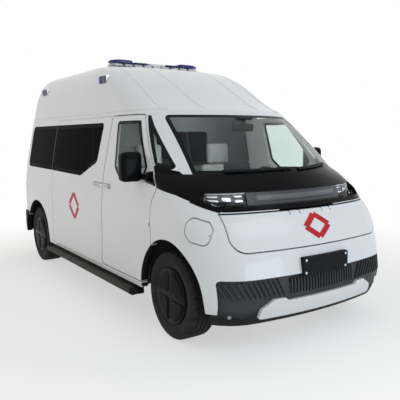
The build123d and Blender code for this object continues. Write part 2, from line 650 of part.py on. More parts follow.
# Inside the cab
DASH = [(FIREWALL_X, 860, 0), (FIREWALL_X, 1235, 0), (60, 1256, 60), (-230, 1250, 60), (-330, 1190, 40),
        (-352, 1100, 40), (-270, 860, 30)]
DASH_HALF = 790.0
WHEEL_HUB = (-530.0, 400.0, 1118.0)     # middle of the steering wheel
COLUMN = (cos(radians(28)), 0.0, -sin(radians(28)))
SEAT_Y = 430.0
SEAT = [(-1240, 640, 30), (-720, 640, 40), (-700, 790, 60), (-1090, 752, 40), (-1262, 1280, 22),
        (-1330, 1280, 18), (-1222, 760, 30)]


def column_point(along):
    """Point on the steering axis, in the frame."""
    return Vector(at_x(WHEEL_HUB[0]), WHEEL_HUB[1], WHEEL_HUB[2]) + Vector(*COLUMN) * along


def dashboard():
    """Dashboard across the cab with the steering column and its pin."""
    dash = side_cut(DASH, -DASH_HALF, DASH_HALF) & inner_low
    dash = dash - box(FIREWALL_X, 900, -REACH, REACH, 0, 2000)
    dash = dash + rod(column_point(30), column_point(240), 32)
    return dash + rod(column_point(-20), column_point(60), 12)


def steering_wheel():
    """Rim, three spokes and a hub that turns on the column pin."""
    plane = Plane(origin=column_point(0), z_dir=Vector(*COLUMN), x_dir=Vector(0, 1, 0))
    rim = plane * Torus(182, 15)
    hub = rod(column_point(-28), column_point(22), 52)
    whole = rim + hub
    for angle in (0, 180, 90):
        spoke = plane * Rot(0, 0, angle) * Pos(112, 0, 0) * Box(150, 34, 14)
        whole = whole + spoke
    return whole - rod(column_point(-22), column_point(60), 12 + SEAT_FIT)


def seat(side):
    """Front seat with pedestal, cushion, back and head rest."""
    y0, y1 = sorted((side * (SEAT_Y - 240), side * (SEAT_Y + 240)))
    whole = side_cut(SEAT, y0, y1)
    whole = whole + box(-1200, -760, y0 + 30, y1 - 30, FLOOR_TOP, 645)
    head = side_cut([(-1336, 1330, 25), (-1252, 1330, 25), (-1270, 1505, 25), (-1336, 1505, 25)],
                    side * SEAT_Y - 130, side * SEAT_Y + 130)
    return whole + head + box(-1318, -1292, side * SEAT_Y - 60, side * SEAT_Y + 60, 1270, 1345)


def partition():
    """Wall between the cab and the patient space with a window opening."""
    wall = box(PARTITION_X - PANEL, PARTITION_X, -940, 940, FLOOR_TOP, GUTTER_Z) & inner_low
    window = [(-330, 1270, 40), (330, 1270, 40), (330, 1640, 40), (-330, 1640, 40)]
    return wall - front_cut(window, PARTITION_X - 60, PARTITION_X + 60)


save("dashboard", dashboard())
save("steering_wheel", steering_wheel())
save("front_seats", *both(seat))
save("partition", partition())

# On the outside
STEP = (-2772.0, -558.0, 222.0, 286.0)      # x limits and z limits of a running board
STEP_Y = (900.0, 1046.0)
BAR = (-2020.0, -1850.0, 565.0)             # x limits and half length of the light bar
BAR_Z = (2344.0, 2390.0, 2436.0)            # foot, seam and top of the light bar
TRAY = 12.0                                 # thickness of its tray
DOME = 215.0                                # length of a blue dome
MIRROR = (-455.0, 1060.0, 1345.0)           # middle of a mirror housing
MIRROR_ARM = (1236.0, 1292.0)               # z limits of its arm
BEACON_X = (-1520.0, -3363.0)
BEACON_Z = 2162.0
roof_outer = block_solid(ROOF)


def running_board(side):
    """Ribbed step below the sill, hung on three brackets."""
    x0, x1, z0, z1 = STEP
    y0, y1 = STEP_Y
    profile = [(y0, z0 + 10), (y1 - 30, z0), (y1, z0 + 24), (y1, z1 - 6), (y1 - 6, z1), (y0, z1)]
    board = front_cut([(side * y, z, 0) for y, z in profile], x0, x1)
    for i in range(4):
        y = y1 - 26 - 24 * i
        board = board - box(x0 + 30, x1 - 30, *sorted((side * (y - 8), side * y)), z1 - 4, z1 + 10)
    for x in (x0 + 90, (x0 + x1) / 2, x1 - 90):
        board = board + box(x - 30, x + 30, *sorted((side * (y0 + 8), side * (y0 + 48))), z1 - 5, SILL_Z)
    return board


def light_bar_base():
    """Dark tray of the light bar on two feet that stand on the roof."""
    x0, x1, half = BAR
    foot, top = BAR_Z[0], BAR_Z[0] + TRAY
    tray = front_cut([(-half, foot, 8), (half, foot, 8), (half, top, 0), (-half, top, 0)], x0, x1)
    for side in (-1, 1):
        tray = tray + box(x0 + 30, x1 - 30, *sorted((side * 465, side * 550)), 2200, BAR_Z[0] + 6)
    return tray - roof_outer


def light_bar_lens(y0, y1, z0, z1):
    """Rounded lens along the bar between two heights."""
    x0, x1, _ = BAR
    round_by = 22 if z1 == BAR_Z[2] else 0
    return side_cut([(x0, z0, 0), (x1, z0, 0), (x1, z1, round_by), (x0, z1, round_by)], y0, y1)


def mirror(side):
    """Door mirror: housing on an arm that stands on the door ahead of its window."""
    x, y, z = MIRROR
    face = [(side * (y - 95), z - 128, 40), (side * (y + 95), z - 118, 50), (side * (y + 95), z + 120, 60),
            (side * (y - 89), z + 128, 40)]
    foot = box(-340, -268, *sorted((side * 900, side * 1012)), *MIRROR_ARM)
    arm = box(x, -268, *sorted((side * 976, side * 1012)), *MIRROR_ARM)
    return (front_cut(face, x - 62, x + 60) + foot + arm) - outer_low


def beacon(side, x):
    """Flat marker lamp on the roof side."""
    low, top = BEACON_Z - 26, BEACON_Z + 26
    face = [(x - 75, low, 10), (x + 75, low, 10), (x + 75, top, 10), (x - 75, top, 10)]
    return side_cut(face, *sorted((side * 780, side * 836))) - roof_outer


def wiper(points):
    """Wiper lying on the windscreen, from a front-view strip."""
    layer = block_solid(GREEN, -14) - block_solid(GREEN)
    return layer & front_cut([(y, z, 0) for y, z in points], -700, 700)


def rear_bumper():
    """Dark wrap-round rear bumper."""
    grown = block_solid(LOWER, -15.0)
    piece = (grown - block_solid(LOWER, 45.0, dip=20)) & box(-4100, -3690, -REACH, REACH, 330, 607)
    return piece - arches[1]


save("running_boards", *both(running_board))
save("light_bar_base", light_bar_base())
bar_end, dome_end = BAR[2], BAR[2] - DOME
save("light_bar_domes", light_bar_lens(-bar_end, -dome_end, *BAR_Z[1:]),
     light_bar_lens(dome_end, bar_end, *BAR_Z[1:]))
save("light_bar_lens", light_bar_lens(-bar_end, bar_end, BAR_Z[0] + TRAY, BAR_Z[1])
     + light_bar_lens(-dome_end, dome_end, *BAR_Z[1:]))
for side, name in ((-1, "right"), (1, "left")):
    save(f"mirror_{name}", mirror(side))
save("roof_beacons", *[beacon(side, x) for side in (-1, 1) for x in BEACON_X])
save("wipers", wiper([(-560, 1312), (60, 1322), (60, 1336), (-560, 1330)]),
     wiper([(120, 1312), (600, 1330), (600, 1348), (120, 1328)]))
save("rear_bumper", rear_bumper())
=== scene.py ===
"""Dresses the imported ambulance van: finishes for its nodes, the pieces that the solids leave out, the stage
and the camera. Places are in millimetres from the front axle, as in the part's source, and at() turns them
into the frame."""

import json
from math import asin, cos, exp, pi, radians, sin

import bmesh
import bpy
from bpy.props import FloatProperty, FloatVectorProperty, IntProperty, PointerProperty
from mathutils import Matrix, Vector
from mathutils.bvhtree import BVHTree


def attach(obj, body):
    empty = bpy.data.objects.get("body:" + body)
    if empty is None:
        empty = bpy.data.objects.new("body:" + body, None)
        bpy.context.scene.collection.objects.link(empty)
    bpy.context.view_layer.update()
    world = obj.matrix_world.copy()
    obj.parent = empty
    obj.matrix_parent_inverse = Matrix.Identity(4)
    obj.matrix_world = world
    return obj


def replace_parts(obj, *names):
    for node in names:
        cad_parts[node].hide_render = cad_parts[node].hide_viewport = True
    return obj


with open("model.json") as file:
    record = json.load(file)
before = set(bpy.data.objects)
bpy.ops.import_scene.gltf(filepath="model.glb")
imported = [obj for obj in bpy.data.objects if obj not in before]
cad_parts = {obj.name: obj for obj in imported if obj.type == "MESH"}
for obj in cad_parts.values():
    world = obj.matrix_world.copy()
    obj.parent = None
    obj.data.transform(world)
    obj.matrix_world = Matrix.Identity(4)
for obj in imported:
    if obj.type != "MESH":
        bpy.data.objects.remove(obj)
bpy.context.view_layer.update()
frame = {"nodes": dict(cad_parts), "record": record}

bl_info = {
    "name": "Ambulance van dressing",
    "version": (1, 0, 0),
    "blender": (4, 5, 0),
    "location": "View3D > Sidebar > Van",
    "description": "Finishes, trim, soft seats and stage for a high-roof ambulance van",
    "category": "Object",
}

MM = 0.001
FRONT_AXLE = 1.5975  # X of the front axle in the frame
WHEELBASE = 3.3
AXLE_HIGH = 0.347
TYRE_OUT = 0.8515  # Y of the middle of a tyre
SIDES = (("right", -1), ("left", 1))
ENDS = (("front", FRONT_AXLE), ("rear", FRONT_AXLE - WHEELBASE))
FORWARD, BACK, UP = Vector((1, 0, 0)), Vector((-1, 0, 0)), Vector((0, 0, 1))
SMOOTH = 40  # degrees between two faces above which their edge stays sharp


def at(x, y, z):
    """Point in the frame from millimetres measured from the front axle."""
    return Vector((x * MM + FRONT_AXLE, y * MM, z * MM))


class VanColours(bpy.types.PropertyGroup):
    """Colours of the finishes."""

    def colour(name, description, default):
        return FloatVectorProperty(name=name, description=description, subtype="COLOR", size=3,
                                   min=0.0, max=1.0, default=default)

    white: colour("White paint", "Body, doors, roof and bumper", (0.748, 0.757, 0.760))
    black: colour("Gloss black", "Nose band, door bands and mirrors", (0.005, 0.005, 0.0055))
    plastic: colour("Dark plastic", "Plate bracket, rear bumper and arch edges", (0.009, 0.0095, 0.011))
    grille: colour("Grille panel", "Lower front panel", (0.055, 0.057, 0.060))
    mark: colour("Red marks", "Rings on the nose and the sides", (0.56, 0.010, 0.020))
    blue: colour("Blue lens", "Warning lamps", (0.008, 0.024, 0.19))
    red: colour("Red lens", "Tail lamps and reflectors", (0.35, 0.008, 0.010))
    step: colour("Step", "Running boards", (0.018, 0.017, 0.015))
    rubber: colour("Tyre rubber", "Tyres", (0.011, 0.011, 0.0115))
    cover: colour("Wheel cover", "Wheel covers", (0.008, 0.0085, 0.0085))
    glass: colour("Clear glass", "Tint of windscreen and front doors", (0.80, 0.88, 0.85))
    dark: colour("Dark glass", "Tint of the side and rear windows", (0.012, 0.014, 0.015))
    cloth: colour("Seat cloth", "Front seats", (0.46, 0.465, 0.47))
    dash: colour("Dashboard", "Dashboard, steering wheel and seat frames", (0.030, 0.031, 0.033))
    panel: colour("Partition", "Panel behind the seats", (0.16, 0.165, 0.17))
    under: colour("Underbody", "Floor, suspension and axle", (0.035, 0.035, 0.036))
    metal: colour("Bare metal", "Battery case and motor", (0.42, 0.43, 0.44))


class VanTrim(bpy.types.PropertyGroup):
    """Sizes of the added trim."""

    def size(name, description, default):
        return FloatProperty(name=name, description=description, default=default, min=0.0, unit="LENGTH")

    border: size("Glass border", "Width of the black border of the front side glass", 0.030)
    screen_border: size("Screen border", "Width of the black border of the windscreen", 0.038)
    ring: size("Ring mark", "Height of the red ring on the sides", 0.340)
    ring_bar: size("Ring bar", "Width of the bars of the red rings", 0.046)
    groove: size("Tread groove", "Depth of the grooves round a tyre", 0.007)
    steps: IntProperty(name="Tyre steps", description="Steps of a turned tyre", default=108, min=24,
                       max=160)


class VanStage(bpy.types.PropertyGroup):
    """Camera and lamps."""

    def number(name, description, default, **kind):
        return FloatProperty(name=name, description=description, default=default, **kind)

    place: FloatVectorProperty(name="Camera", description="Place of the camera", subtype="TRANSLATION",
                               size=3, default=(5.0833, -2.9905, 1.5953))
    yaw: number("Yaw", "Direction of view about the upright", 2.5317, subtype="ANGLE")
    pitch: number("Pitch", "Direction of view above the level", -0.1003, subtype="ANGLE")
    roll: number("Roll", "Turn about the direction of view", -0.0066, subtype="ANGLE")
    lens: number("Lens", "Focal length on a 36 mm sensor", 47.3, unit="CAMERA")
    ambient: number("Ambient", "Strength of the light from all round", 0.60)
    key: number("Key", "Power of the large lamp above the front", 128.0, unit="POWER")
    nose: number("Nose", "Power of the low lamp before the nose", 60.0, unit="POWER")
    cab: number("Cab", "Power of the small lamp under the cab roof", 5.0, unit="POWER")
    fill: number("Fill", "Power of the lamp beside the right side", 26.0, unit="POWER")


def trim():
    return bpy.context.scene.van_trim


# Materials

# Kinds of the group sockets that aren't plain numbers
SOCKETS = {"Colour": "NodeSocketColor", "Tint": "NodeSocketColor", "Dust": "NodeSocketColor",
           "Normal": "NodeSocketVector"}
FIRST, SECOND, MIXED = 6, 7, 2  # colour sockets of a mix node: two inputs and the output
ROAD_DUST = (0.20, 0.18, 0.155)
DUST_TOP, DUST_FULL = 0.75, 0.1  # heights over the ground where dust starts and where it is thickest; the grille panel is also darkest at the second


def set_inputs(tree, made, inputs):
    """Set inputs of a node, by name or number, each from a number, a colour or another socket."""
    for key, value in inputs.items():
        socket = made.inputs[key]
        if isinstance(value, bpy.types.NodeSocket):
            tree.links.new(value, socket)
        else:
            socket.default_value = (*value, 1.0) if socket.type == "RGBA" else value


def node(tree, kind, inputs=None, **settings):
    """Add a shader node with its own settings and its inputs."""
    made = tree.nodes.new("ShaderNode" + kind)
    for key, value in settings.items():
        setattr(made, key, value)
    set_inputs(tree, made, inputs or {})
    return made


def maths(tree, operation, first, second):
    """Result of a maths node."""
    return node(tree, "Math", {0: first, 1: second}, operation=operation).outputs[0]


def ranged(tree, value, start, end, low=0.0, high=1.0):
    """Value taken from one range into another and held at its ends."""
    return node(tree, "MapRange", {"Value": value, "From Min": start, "From Max": end, "To Min": low,
                                   "To Max": high}).outputs["Result"]


def blend(tree, share, first, second):
    """Mix of two colours."""
    mix = node(tree, "Mix", {"Factor": share, FIRST: first, SECOND: second}, data_type="RGBA")
    return mix.outputs[MIXED]


def seen_rays(tree):
    """1 for what the camera sees, also by way of gloss and glass, and 0 for other rays."""
    path = node(tree, "LightPath").outputs
    seen = maths(tree, "MAXIMUM", path["Is Camera Ray"], path["Is Glossy Ray"])
    return maths(tree, "MAXIMUM", seen, path["Is Transmission Ray"])


def new_group(name, inputs, outputs):
    """Shader group with named sockets; gives its tree, the sockets that come in and its output node."""
    tree = bpy.data.node_groups.new(name, "ShaderNodeTree")
    for way, labels in (("INPUT", inputs), ("OUTPUT", outputs)):
        for label in labels:
            tree.interface.new_socket(label, in_out=way, socket_type=SOCKETS.get(label, "NodeSocketFloat"))
    return tree, tree.nodes.new("NodeGroupInput").outputs, tree.nodes.new("NodeGroupOutput")


def surface_group():
    """Slow change of colour and roughness over a surface, with a fine grain for its normal."""
    if "worn_surface" in bpy.data.node_groups:
        return bpy.data.node_groups["worn_surface"]
    tree, given, out = new_group(
        "worn_surface",
        ("Colour", "Tint", "Patch Scale", "Roughness", "Spread", "Grain Scale", "Grain Height"),
        ("Colour", "Roughness", "Normal"))
    where = node(tree, "TexCoord").outputs["Object"]
    patch = node(tree, "TexNoise", {"Vector": where, "Scale": given["Patch Scale"], "Detail": 5.0,
                                    "Roughness": 0.6})
    grain = node(tree, "TexNoise", {"Vector": where, "Scale": given["Grain Scale"], "Detail": 2.0})
    share = ranged(tree, patch.outputs["Fac"], 0.35, 0.7)
    spread = maths(tree, "MULTIPLY", share, given["Spread"])
    bump = node(tree, "Bump", {"Strength": given["Grain Height"], "Distance": MM,
                               "Height": grain.outputs["Fac"]})
    set_inputs(tree, out, {"Colour": blend(tree, share, given["Colour"], given["Tint"]),
                           "Roughness": maths(tree, "ADD", given["Roughness"], spread),
                           "Normal": bump.outputs["Normal"]})
    return tree


def dust_group():
    """Colour that grows towards the ground, broken up by noise: road dust on most finishes, and black towards
    the bottom of the grille panel.
    """
    if "road_dust" in bpy.data.node_groups:
        return bpy.data.node_groups["road_dust"]
    tree, given, out = new_group("road_dust", ("Colour", "Dust", "Height", "Amount"), ("Colour",))
    where = node(tree, "TexCoord").outputs["Object"]
    height = node(tree, "SeparateXYZ", {0: where}).outputs["Z"]
    patch = node(tree, "TexNoise", {"Vector": where, "Scale": 9.0, "Detail": 6.0})
    low = ranged(tree, height, given["Height"], DUST_FULL)
    broken = maths(tree, "MULTIPLY", low, patch.outputs["Fac"])
    mask = maths(tree, "MULTIPLY", broken, given["Amount"])
    set_inputs(tree, out, {"Colour": blend(tree, mask, given["Colour"], given["Dust"])})
    return tree


def shaded(colour, share):
    """Colour at a share of its brightness."""
    return [c * share for c in colour]


def blank_material(name):
    """Material with only its shader and output; gives the material, its tree and its shader."""
    material = bpy.data.materials.new("van_" + name)
    material.use_nodes = True
    tree = material.node_tree
    return material, tree, tree.nodes["Principled BSDF"]


def finish(name, colour, tint=None, patch=3.0, rough=0.4, spread=0.1, grain=300.0, height=0.1, metallic=0.0,
           coat=0.0, dust=0.0, sheen=0.5, soil=ROAD_DUST, soil_top=DUST_TOP):
    """Opaque finish from the shared surface group, with a colour that grows towards the ground if asked: road
    dust on most finishes, black towards the bottom of the grille panel.
    """
    material, tree, shader = blank_material(name)
    surface = node(tree, "Group", {
        "Colour": colour, "Tint": tint or shaded(colour, 0.82), "Patch Scale": patch, "Roughness": rough,
        "Spread": spread, "Grain Scale": grain, "Grain Height": height}, node_tree=surface_group()).outputs
    base = surface["Colour"]
    if dust:
        base = node(tree, "Group", {"Colour": base, "Dust": soil, "Height": soil_top, "Amount": dust},
                    node_tree=dust_group()).outputs["Colour"]
    set_inputs(tree, shader, {
        "Base Color": base, "Roughness": surface["Roughness"], "Normal": surface["Normal"],
        "Metallic": metallic, "Coat Weight": coat, "Coat Roughness": 0.04, "Specular IOR Level": sheen})
    return material


def clear(name, colour, ior, shade=0.85):
    """Glass or clear plastic that lets a share of the light through to what is behind it."""
    material, tree, shader = blank_material(name)
    surface = node(tree, "Group", {
        "Colour": colour, "Tint": shaded(colour, 0.93), "Patch Scale": 1.2, "Roughness": 0.02,
        "Spread": 0.02}, node_tree=surface_group()).outputs
    lit = maths(tree, "MULTIPLY", node(tree, "LightPath").outputs["Is Shadow Ray"], shade)
    set_inputs(tree, shader, {
        "Base Color": surface["Colour"], "Roughness": surface["Roughness"], "Transmission Weight": 1.0,
        "IOR": ior, "Alpha": maths(tree, "SUBTRACT", 1.0, lit)})
    return material


def make_finishes():
    """All finishes, by the names of the record's slots and by the names that SLOT_OF adds to them."""
    c = bpy.context.scene.van_colours
    made = {}

    def add(name, colour, make=finish, **look):
        made[name] = bpy.data.materials.get("van_" + name) or make(name, colour, **look)

    add("clear_glass", c.glass, clear, ior=1.11, shade=0.97)
    add("dark_glass", c.dark, clear, ior=1.035, shade=0.35)
    add("lamp_lens", (0.90, 0.92, 0.94), clear, ior=1.25)
    add("paint_white", c.white, tint=shaded(c.white, 0.975), patch=1.4, rough=0.30, spread=0.08,
        grain=900.0, height=0.02, coat=0.5, dust=0.10, sheen=0.4)
    add("dark_plastic", c.plastic, rough=0.5, grain=700.0, height=0.25, dust=0.04, sheen=0.08)
    add("gloss_black", c.black, rough=0.10, spread=0.08, grain=500.0, height=0.01, sheen=0.045)
    add("lamp_grey", (0.060, 0.062, 0.066), rough=0.22, height=0.03, sheen=0.4)
    add("red_lens", c.red, rough=0.12, height=0.02, coat=0.4, sheen=0.3)
    add("blue_lens", c.blue, tint=shaded(c.blue, 0.6), rough=0.10, height=0.02, sheen=0.35)
    add("step_bronze", c.step, patch=6.0, rough=0.45, grain=260.0, height=0.2, dust=0.08, sheen=0.15)
    add("underbody", c.under, patch=5.0, rough=0.75, grain=120.0, height=0.4, dust=0.5, sheen=0.2)
    add("case_metal", c.metal, patch=4.0, metallic=0.8, grain=200.0, dust=0.5)
    add("cast_black", c.under, patch=8.0, rough=0.6, grain=150.0, height=0.4, dust=0.5)
    add("seat_cloth", c.cloth, patch=10.0, rough=0.9, grain=900.0, height=0.5, sheen=0.2)
    add("dash_plastic", c.dash, rough=0.55, grain=800.0, height=0.3, sheen=0.2)
    add("panel_grey", c.panel, rough=0.6, grain=400.0, sheen=0.3)
    add("tyre", c.rubber, patch=12.0, rough=0.75, grain=350.0, height=0.3, dust=0.10, sheen=0.2)
    add("wheel_cover", c.cover, patch=8.0, rough=0.36, grain=500.0, height=0.08, dust=0.01, sheen=0.04)
    # The grille panel turns black towards its bottom, below about 0.35 m above the ground
    add("grille_panel", c.grille, rough=0.5, grain=700.0, height=0.2, dust=9.0, sheen=0.2, soil=c.black,
        soil_top=0.345)
    add("mark_red", c.mark, rough=0.35, height=0.03, sheen=0.25)
    add("chrome", (0.80, 0.81, 0.82), rough=0.12, spread=0.08, height=0.02, metallic=1.0)
    # Black of the printed glass borders, black strips and cover discs, and of the painted shade sheet in the
    # vent
    add("frit", (0.005, 0.005, 0.006), rough=0.3, height=0.02, sheen=0.08)
    add("screen", (0.012, 0.013, 0.016), rough=0.15, height=0.01, sheen=0.3)
    add("bar_middle", (0.17, 0.172, 0.178), tint=(0.10, 0.10, 0.105), patch=1.5, rough=0.25, height=0.02,
        sheen=0.3)
    add("lamp_back", (0.30, 0.31, 0.33), rough=0.25, height=0.03)
    add("step_rib", (0.048, 0.046, 0.042), height=0.05, dust=0.05, sheen=0.2)
    # White paint darkened to 72 %: painted shade for the cups behind the handles and under the roof drip
    # rails
    add("recess", shaded(c.white, 0.72), rough=0.35, height=0.03)
    add("line_white", (0.80, 0.81, 0.83), rough=0.25, height=0.03)
    return made


# Slots of the finishes that the record has no slot for
SLOT_OF = {"frit": "gloss_black", "screen": "gloss_black", "chrome": "case_metal", "lamp_back": "lamp_grey",
           "bar_middle": "lamp_grey", "line_white": "panel_grey", "step_rib": "step_bronze",
           "recess": "paint_white", "mark_red": None}


# Meshes

def add_mesh(name, bm):
    """Object from a bmesh."""
    mesh = bpy.data.meshes.new(name)
    bm.to_mesh(mesh)
    bm.free()
    piece = bpy.data.objects.new(name, mesh)
    bpy.context.scene.collection.objects.link(piece)
    return piece


def add_piece(name, bm, finish_name, body="body", slot=None, smooth=SMOOTH):
    """Object from a bmesh, with its finish, riding a body."""
    piece = add_mesh(name, bm)
    mesh = piece.data
    mesh.materials.append(make_finishes()[finish_name])
    if smooth is not None:
        for face in mesh.polygons:
            face.use_smooth = True
        mesh.set_sharp_from_angle(angle=radians(smooth))
    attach(piece, body)
    slot = slot or SLOT_OF.get(finish_name, finish_name)
    return piece


def node_copy(name):
    """Merged bmesh copy of a CAD node."""
    bm = bmesh.new()
    bm.from_mesh(frame["nodes"][name].data)
    bmesh.ops.remove_doubles(bm, verts=bm.verts, dist=1e-5)
    return bm


def skin_tree(name):
    """Tree for finding the surface of a CAD node."""
    bm = node_copy(name)
    tree = BVHTree.FromBMesh(bm)
    bm.free()
    return tree


def side_hit(tree, spot, side):
    """Point of a skin that a level ray from outside one side meets at the place of a spot, or None."""
    return tree.ray_cast(spot + Vector((0, side * 1.4, 0)), (0, -side, 0))[0]


def bridge(bm, rows, facing=None, closed=False):
    """Faces between rows of vertices, round each row if closed, and facing a direction if one is given."""
    for low, high in zip(rows, rows[1:]):
        for i in range(len(low) if closed else len(low) - 1):
            j = (i + 1) % len(low)
            face = bm.faces.new((low[i], low[j], high[j], high[i]))
            if facing is not None:
                face.normal_update()
                if face.normal.dot(facing) < 0:
                    face.normal_flip()


def face_out(bm):
    """Turn the faces of closed skins outward, and those of a sheet alike."""
    bmesh.ops.recalc_face_normals(bm, faces=bm.faces)


def tube(bm, rings):
    """Closed skin over rings of vertices, with a face at each end."""
    bridge(bm, rings, closed=True)
    bm.faces.new(rings[0])
    bm.faces.new(rings[-1])
    face_out(bm)


def block(bm, low, high, round_by=0.0, segments=3):
    """Box between two corners in millimetres from the front axle, its edges rounded."""
    a, b = at(*low), at(*high)
    place = Matrix.Translation((a + b) / 2) @ Matrix.Diagonal((*(b - a), 1))
    made = bmesh.ops.create_cube(bm, size=1.0, matrix=place)["verts"]
    if round_by:
        edges = list(dict.fromkeys(e for v in made for e in v.link_edges))
        bmesh.ops.bevel(bm, geom=edges, offset=round_by * MM, affect="EDGES", segments=segments,
                        profile=0.5, material=-1)
    return made


def turned(bm, profile, centre, axis, steps):
    """Spin a profile of (radius, along) points, in millimetres, about an axis through a centre."""
    axis = Vector(axis).normalized()
    out = axis.orthogonal().normalized()
    points = [bm.verts.new(Vector(centre) + out * (r * MM) + axis * (w * MM)) for r, w in profile]
    edges = [bm.edges.new(pair) for pair in zip(points, points[1:])]
    bmesh.ops.spin(bm, geom=points + edges, cent=centre, axis=axis, angle=2 * pi, steps=steps,
                   use_merge=True)
    bmesh.ops.remove_doubles(bm, verts=bm.verts, dist=1e-6)
    face_out(bm)


def across(x, y0, y1, z0, z1, lift=0):
    """Corners of an upright face across the vehicle, with its lower edge lifted at the second end."""
    return [(x, y0, z0), (x, y1, z0 + lift), (x, y1, z1), (x, y0, z1)]


def beside(side, corners):
    """Corners (x, z) set out at one side of the vehicle."""
    return [(x, side * 900, z) for x, z in corners]


def laid(bm, trees, axis, corners, steps, lift):
    """Grid between four corners in millimetres, laid on the first skin that rays against the axis meet."""
    axis = Vector(axis)
    a, b, c, d = (at(*p) for p in corners)
    rows = []
    for j in range(steps[1] + 1):
        v = j / steps[1]
        row = []
        for i in range(steps[0] + 1):
            u = i / steps[0]
            start = (a * (1 - u) + b * u) * (1 - v) + (d * (1 - u) + c * u) * v
            hits = [h for h in (t.ray_cast(start + axis * 0.6, -axis) for t in trees) if h[0] is not None]
            if not hits:
                raise RuntimeError(f"no skin under {tuple(start)}")
            row.append(bm.verts.new(min(hits, key=lambda h: h[3])[0] + axis * lift))
        rows.append(row)
    bridge(bm, rows, axis)


def thicken(piece, thick):
    """Give a thin sheet its thickness, inward."""
    solid = piece.modifiers.new("thickness", "SOLIDIFY")
    solid.thickness, solid.offset = thick, -1.0


def plate(name, source, axis, corners, finish_name, body="body", steps=(8, 2), thick=0.0015):
    """Thin plate laid on the first skin of some nodes, named in one string."""
    bm = bmesh.new()
    laid(bm, [skin_tree(n) for n in source.split()], axis, corners, steps, thick)
    thicken(add_piece(name, bm, finish_name, body), thick)


def swept(bm, points, radius, sides=8):
    """Round bar along a line of points in the frame, closed at its ends."""
    turns = [2 * pi * k / sides for k in range(sides)]
    rings = []
    for i, p in enumerate(points):
        ahead = (points[min(i + 1, len(points) - 1)] - points[max(i - 1, 0)]).normalized()
        level = ahead.cross(UP)
        level = level.normalized() if level.length > 1e-3 else Vector((0, 1, 0))
        up = level.cross(ahead)
        rings.append([bm.verts.new(p + (level * cos(t) + up * sin(t)) * radius) for t in turns])
    tube(bm, rings)


SEAM_WIDTH = 0.07  # of a sewn channel, as a share of half the pad


def pad(half, place, edge, crown=0.0, seams=(), cuts=14):
    """Rounded and crowned pad as a bmesh: half sizes across, along and through, in millimetres, put in its
    place by a matrix. A seam is (0 for across or 1 for along, place from -1 to 1, depth)."""
    bm = bmesh.new()
    bmesh.ops.create_cube(bm, size=2.0)
    bmesh.ops.subdivide_edges(bm, edges=list(bm.edges), cuts=cuts, use_grid_fill=True)
    half = Vector(half)
    for v in bm.verts:
        u = v.co.copy()
        full = u * half
        core = Vector([max(-h + edge, min(h - edge, c)) for c, h in zip(full, half)])
        out = full - core
        spot = core + out.normalized() * edge if out.length > 1e-6 else full
        rise = (cos(u.x * pi / 2) * cos(u.y * pi / 2)) ** 0.6 if max(abs(u.x), abs(u.y)) < 0.999 else 0.0
        spot.z += crown * rise * u.z
        for axis, line, depth in seams:
            spot.z -= depth * max(u.z, 0.0) * exp(-((u[axis] - line) / SEAM_WIDTH) ** 2)
        v.co = place @ (spot * MM)
    bm.normal_update()
    return bm


def seated(centre, along, face):
    """Matrix of a pad: its length along one direction, its upper side facing another."""
    along, face = Vector(along).normalized(), Vector(face).normalized()
    place = Matrix((along.cross(face), along, face)).transposed().to_4x4()
    place.translation = at(*centre)
    return place


class VAN_OT_finishes(bpy.types.Operator):
    """Give every node of the frame its finish"""
    bl_idname = "van.finishes"
    bl_label = "Finishes"

    OTHER = {"bumper_grille": "grille_panel"}  # node with a finish other than its slot's

    def execute(self, context):
        made = make_finishes()
        for row in frame["record"]["subparts"]:
            mesh = frame["nodes"][row["node"]].data
            mesh.materials.clear()
            mesh.materials.append(made[self.OTHER.get(row["node"], row["material_slot"])])
        return {"FINISHED"}


class VAN_OT_glass_borders(bpy.types.Operator):
    """Black printed borders inside the front glass, and black strips and bands beside the side glass"""
    bl_idname = "van.glass_borders"
    bl_label = "Glass borders"

    UNDER = 0.0015  # depth of a border below the outer face of its pane
    # Plates of each side, {} being its name: piece, body, nodes under it, corners (x, z), finish and steps
    PLATES = (
        ("quarter_tip_{}", "body", "body_shell quarter_glass",
         ((-586, 1776), (-596, 1776), (-498, 1658), (-476, 1678)), "frit", (3, 10)),
        ("quarter_strip_{}", "body", "body_shell quarter_glass",
         ((-586, 1777), (-610, 1777), (-270, 1370), (-256, 1362)), "frit", (3, 24)),
        ("door_band_{}", "front_door_{}", "front_door_{}",
         ((-180, 1196), (-372, 1222), (-364, 1300), (-264, 1316)), "gloss_black", (8, 5)),
        ("side_glass_seam_{}", "body", "side_glass sliding_door body_shell",
         ((-2716, 1212), (-2688, 1212), (-2688, 1722), (-2716, 1722)), "frit", (2, 12)),
    )

    def border(self, name, source, outward, width, body, side=0, sharp=0.6):
        """Strip along the rim of a pane, just inside its outer face; side picks one pane of two."""
        bm = node_copy(source)
        outward = Vector(outward).normalized()
        inner = [f for f in bm.faces
                 if f.normal.dot(outward) < sharp or side * f.calc_center_median().y < 0]
        bmesh.ops.delete(bm, geom=inner, context="FACES")
        for v in bm.verts:
            v.co -= outward * self.UNDER
        kept = list(bm.faces)
        bmesh.ops.inset_region(bm, faces=kept, thickness=width, use_even_offset=True, use_boundary=True)
        bmesh.ops.delete(bm, geom=kept, context="FACES")
        add_piece(name, bm, "frit", body, smooth=None)

    def execute(self, context):
        width, screen = trim().border, trim().screen_border
        self.border("windscreen_border", "windscreen", (1, 0, 0.9), screen, "body", sharp=0.72)
        for name, side in SIDES:
            self.border(f"door_glass_border_{name}", f"front_door_glass_{name}", (0.15, side, 0.25), width,
                        f"front_door_{name}")
            self.border(f"quarter_border_{name}", "quarter_glass", (0.6, side, 0.3), width, "body", side)
            for piece, body, nodes, corners, look, steps in self.PLATES:
                plate(piece.format(name), nodes.format(name), (0, side, 0), beside(side, corners), look,
                      body.format(name), steps)
        return {"FINISHED"}


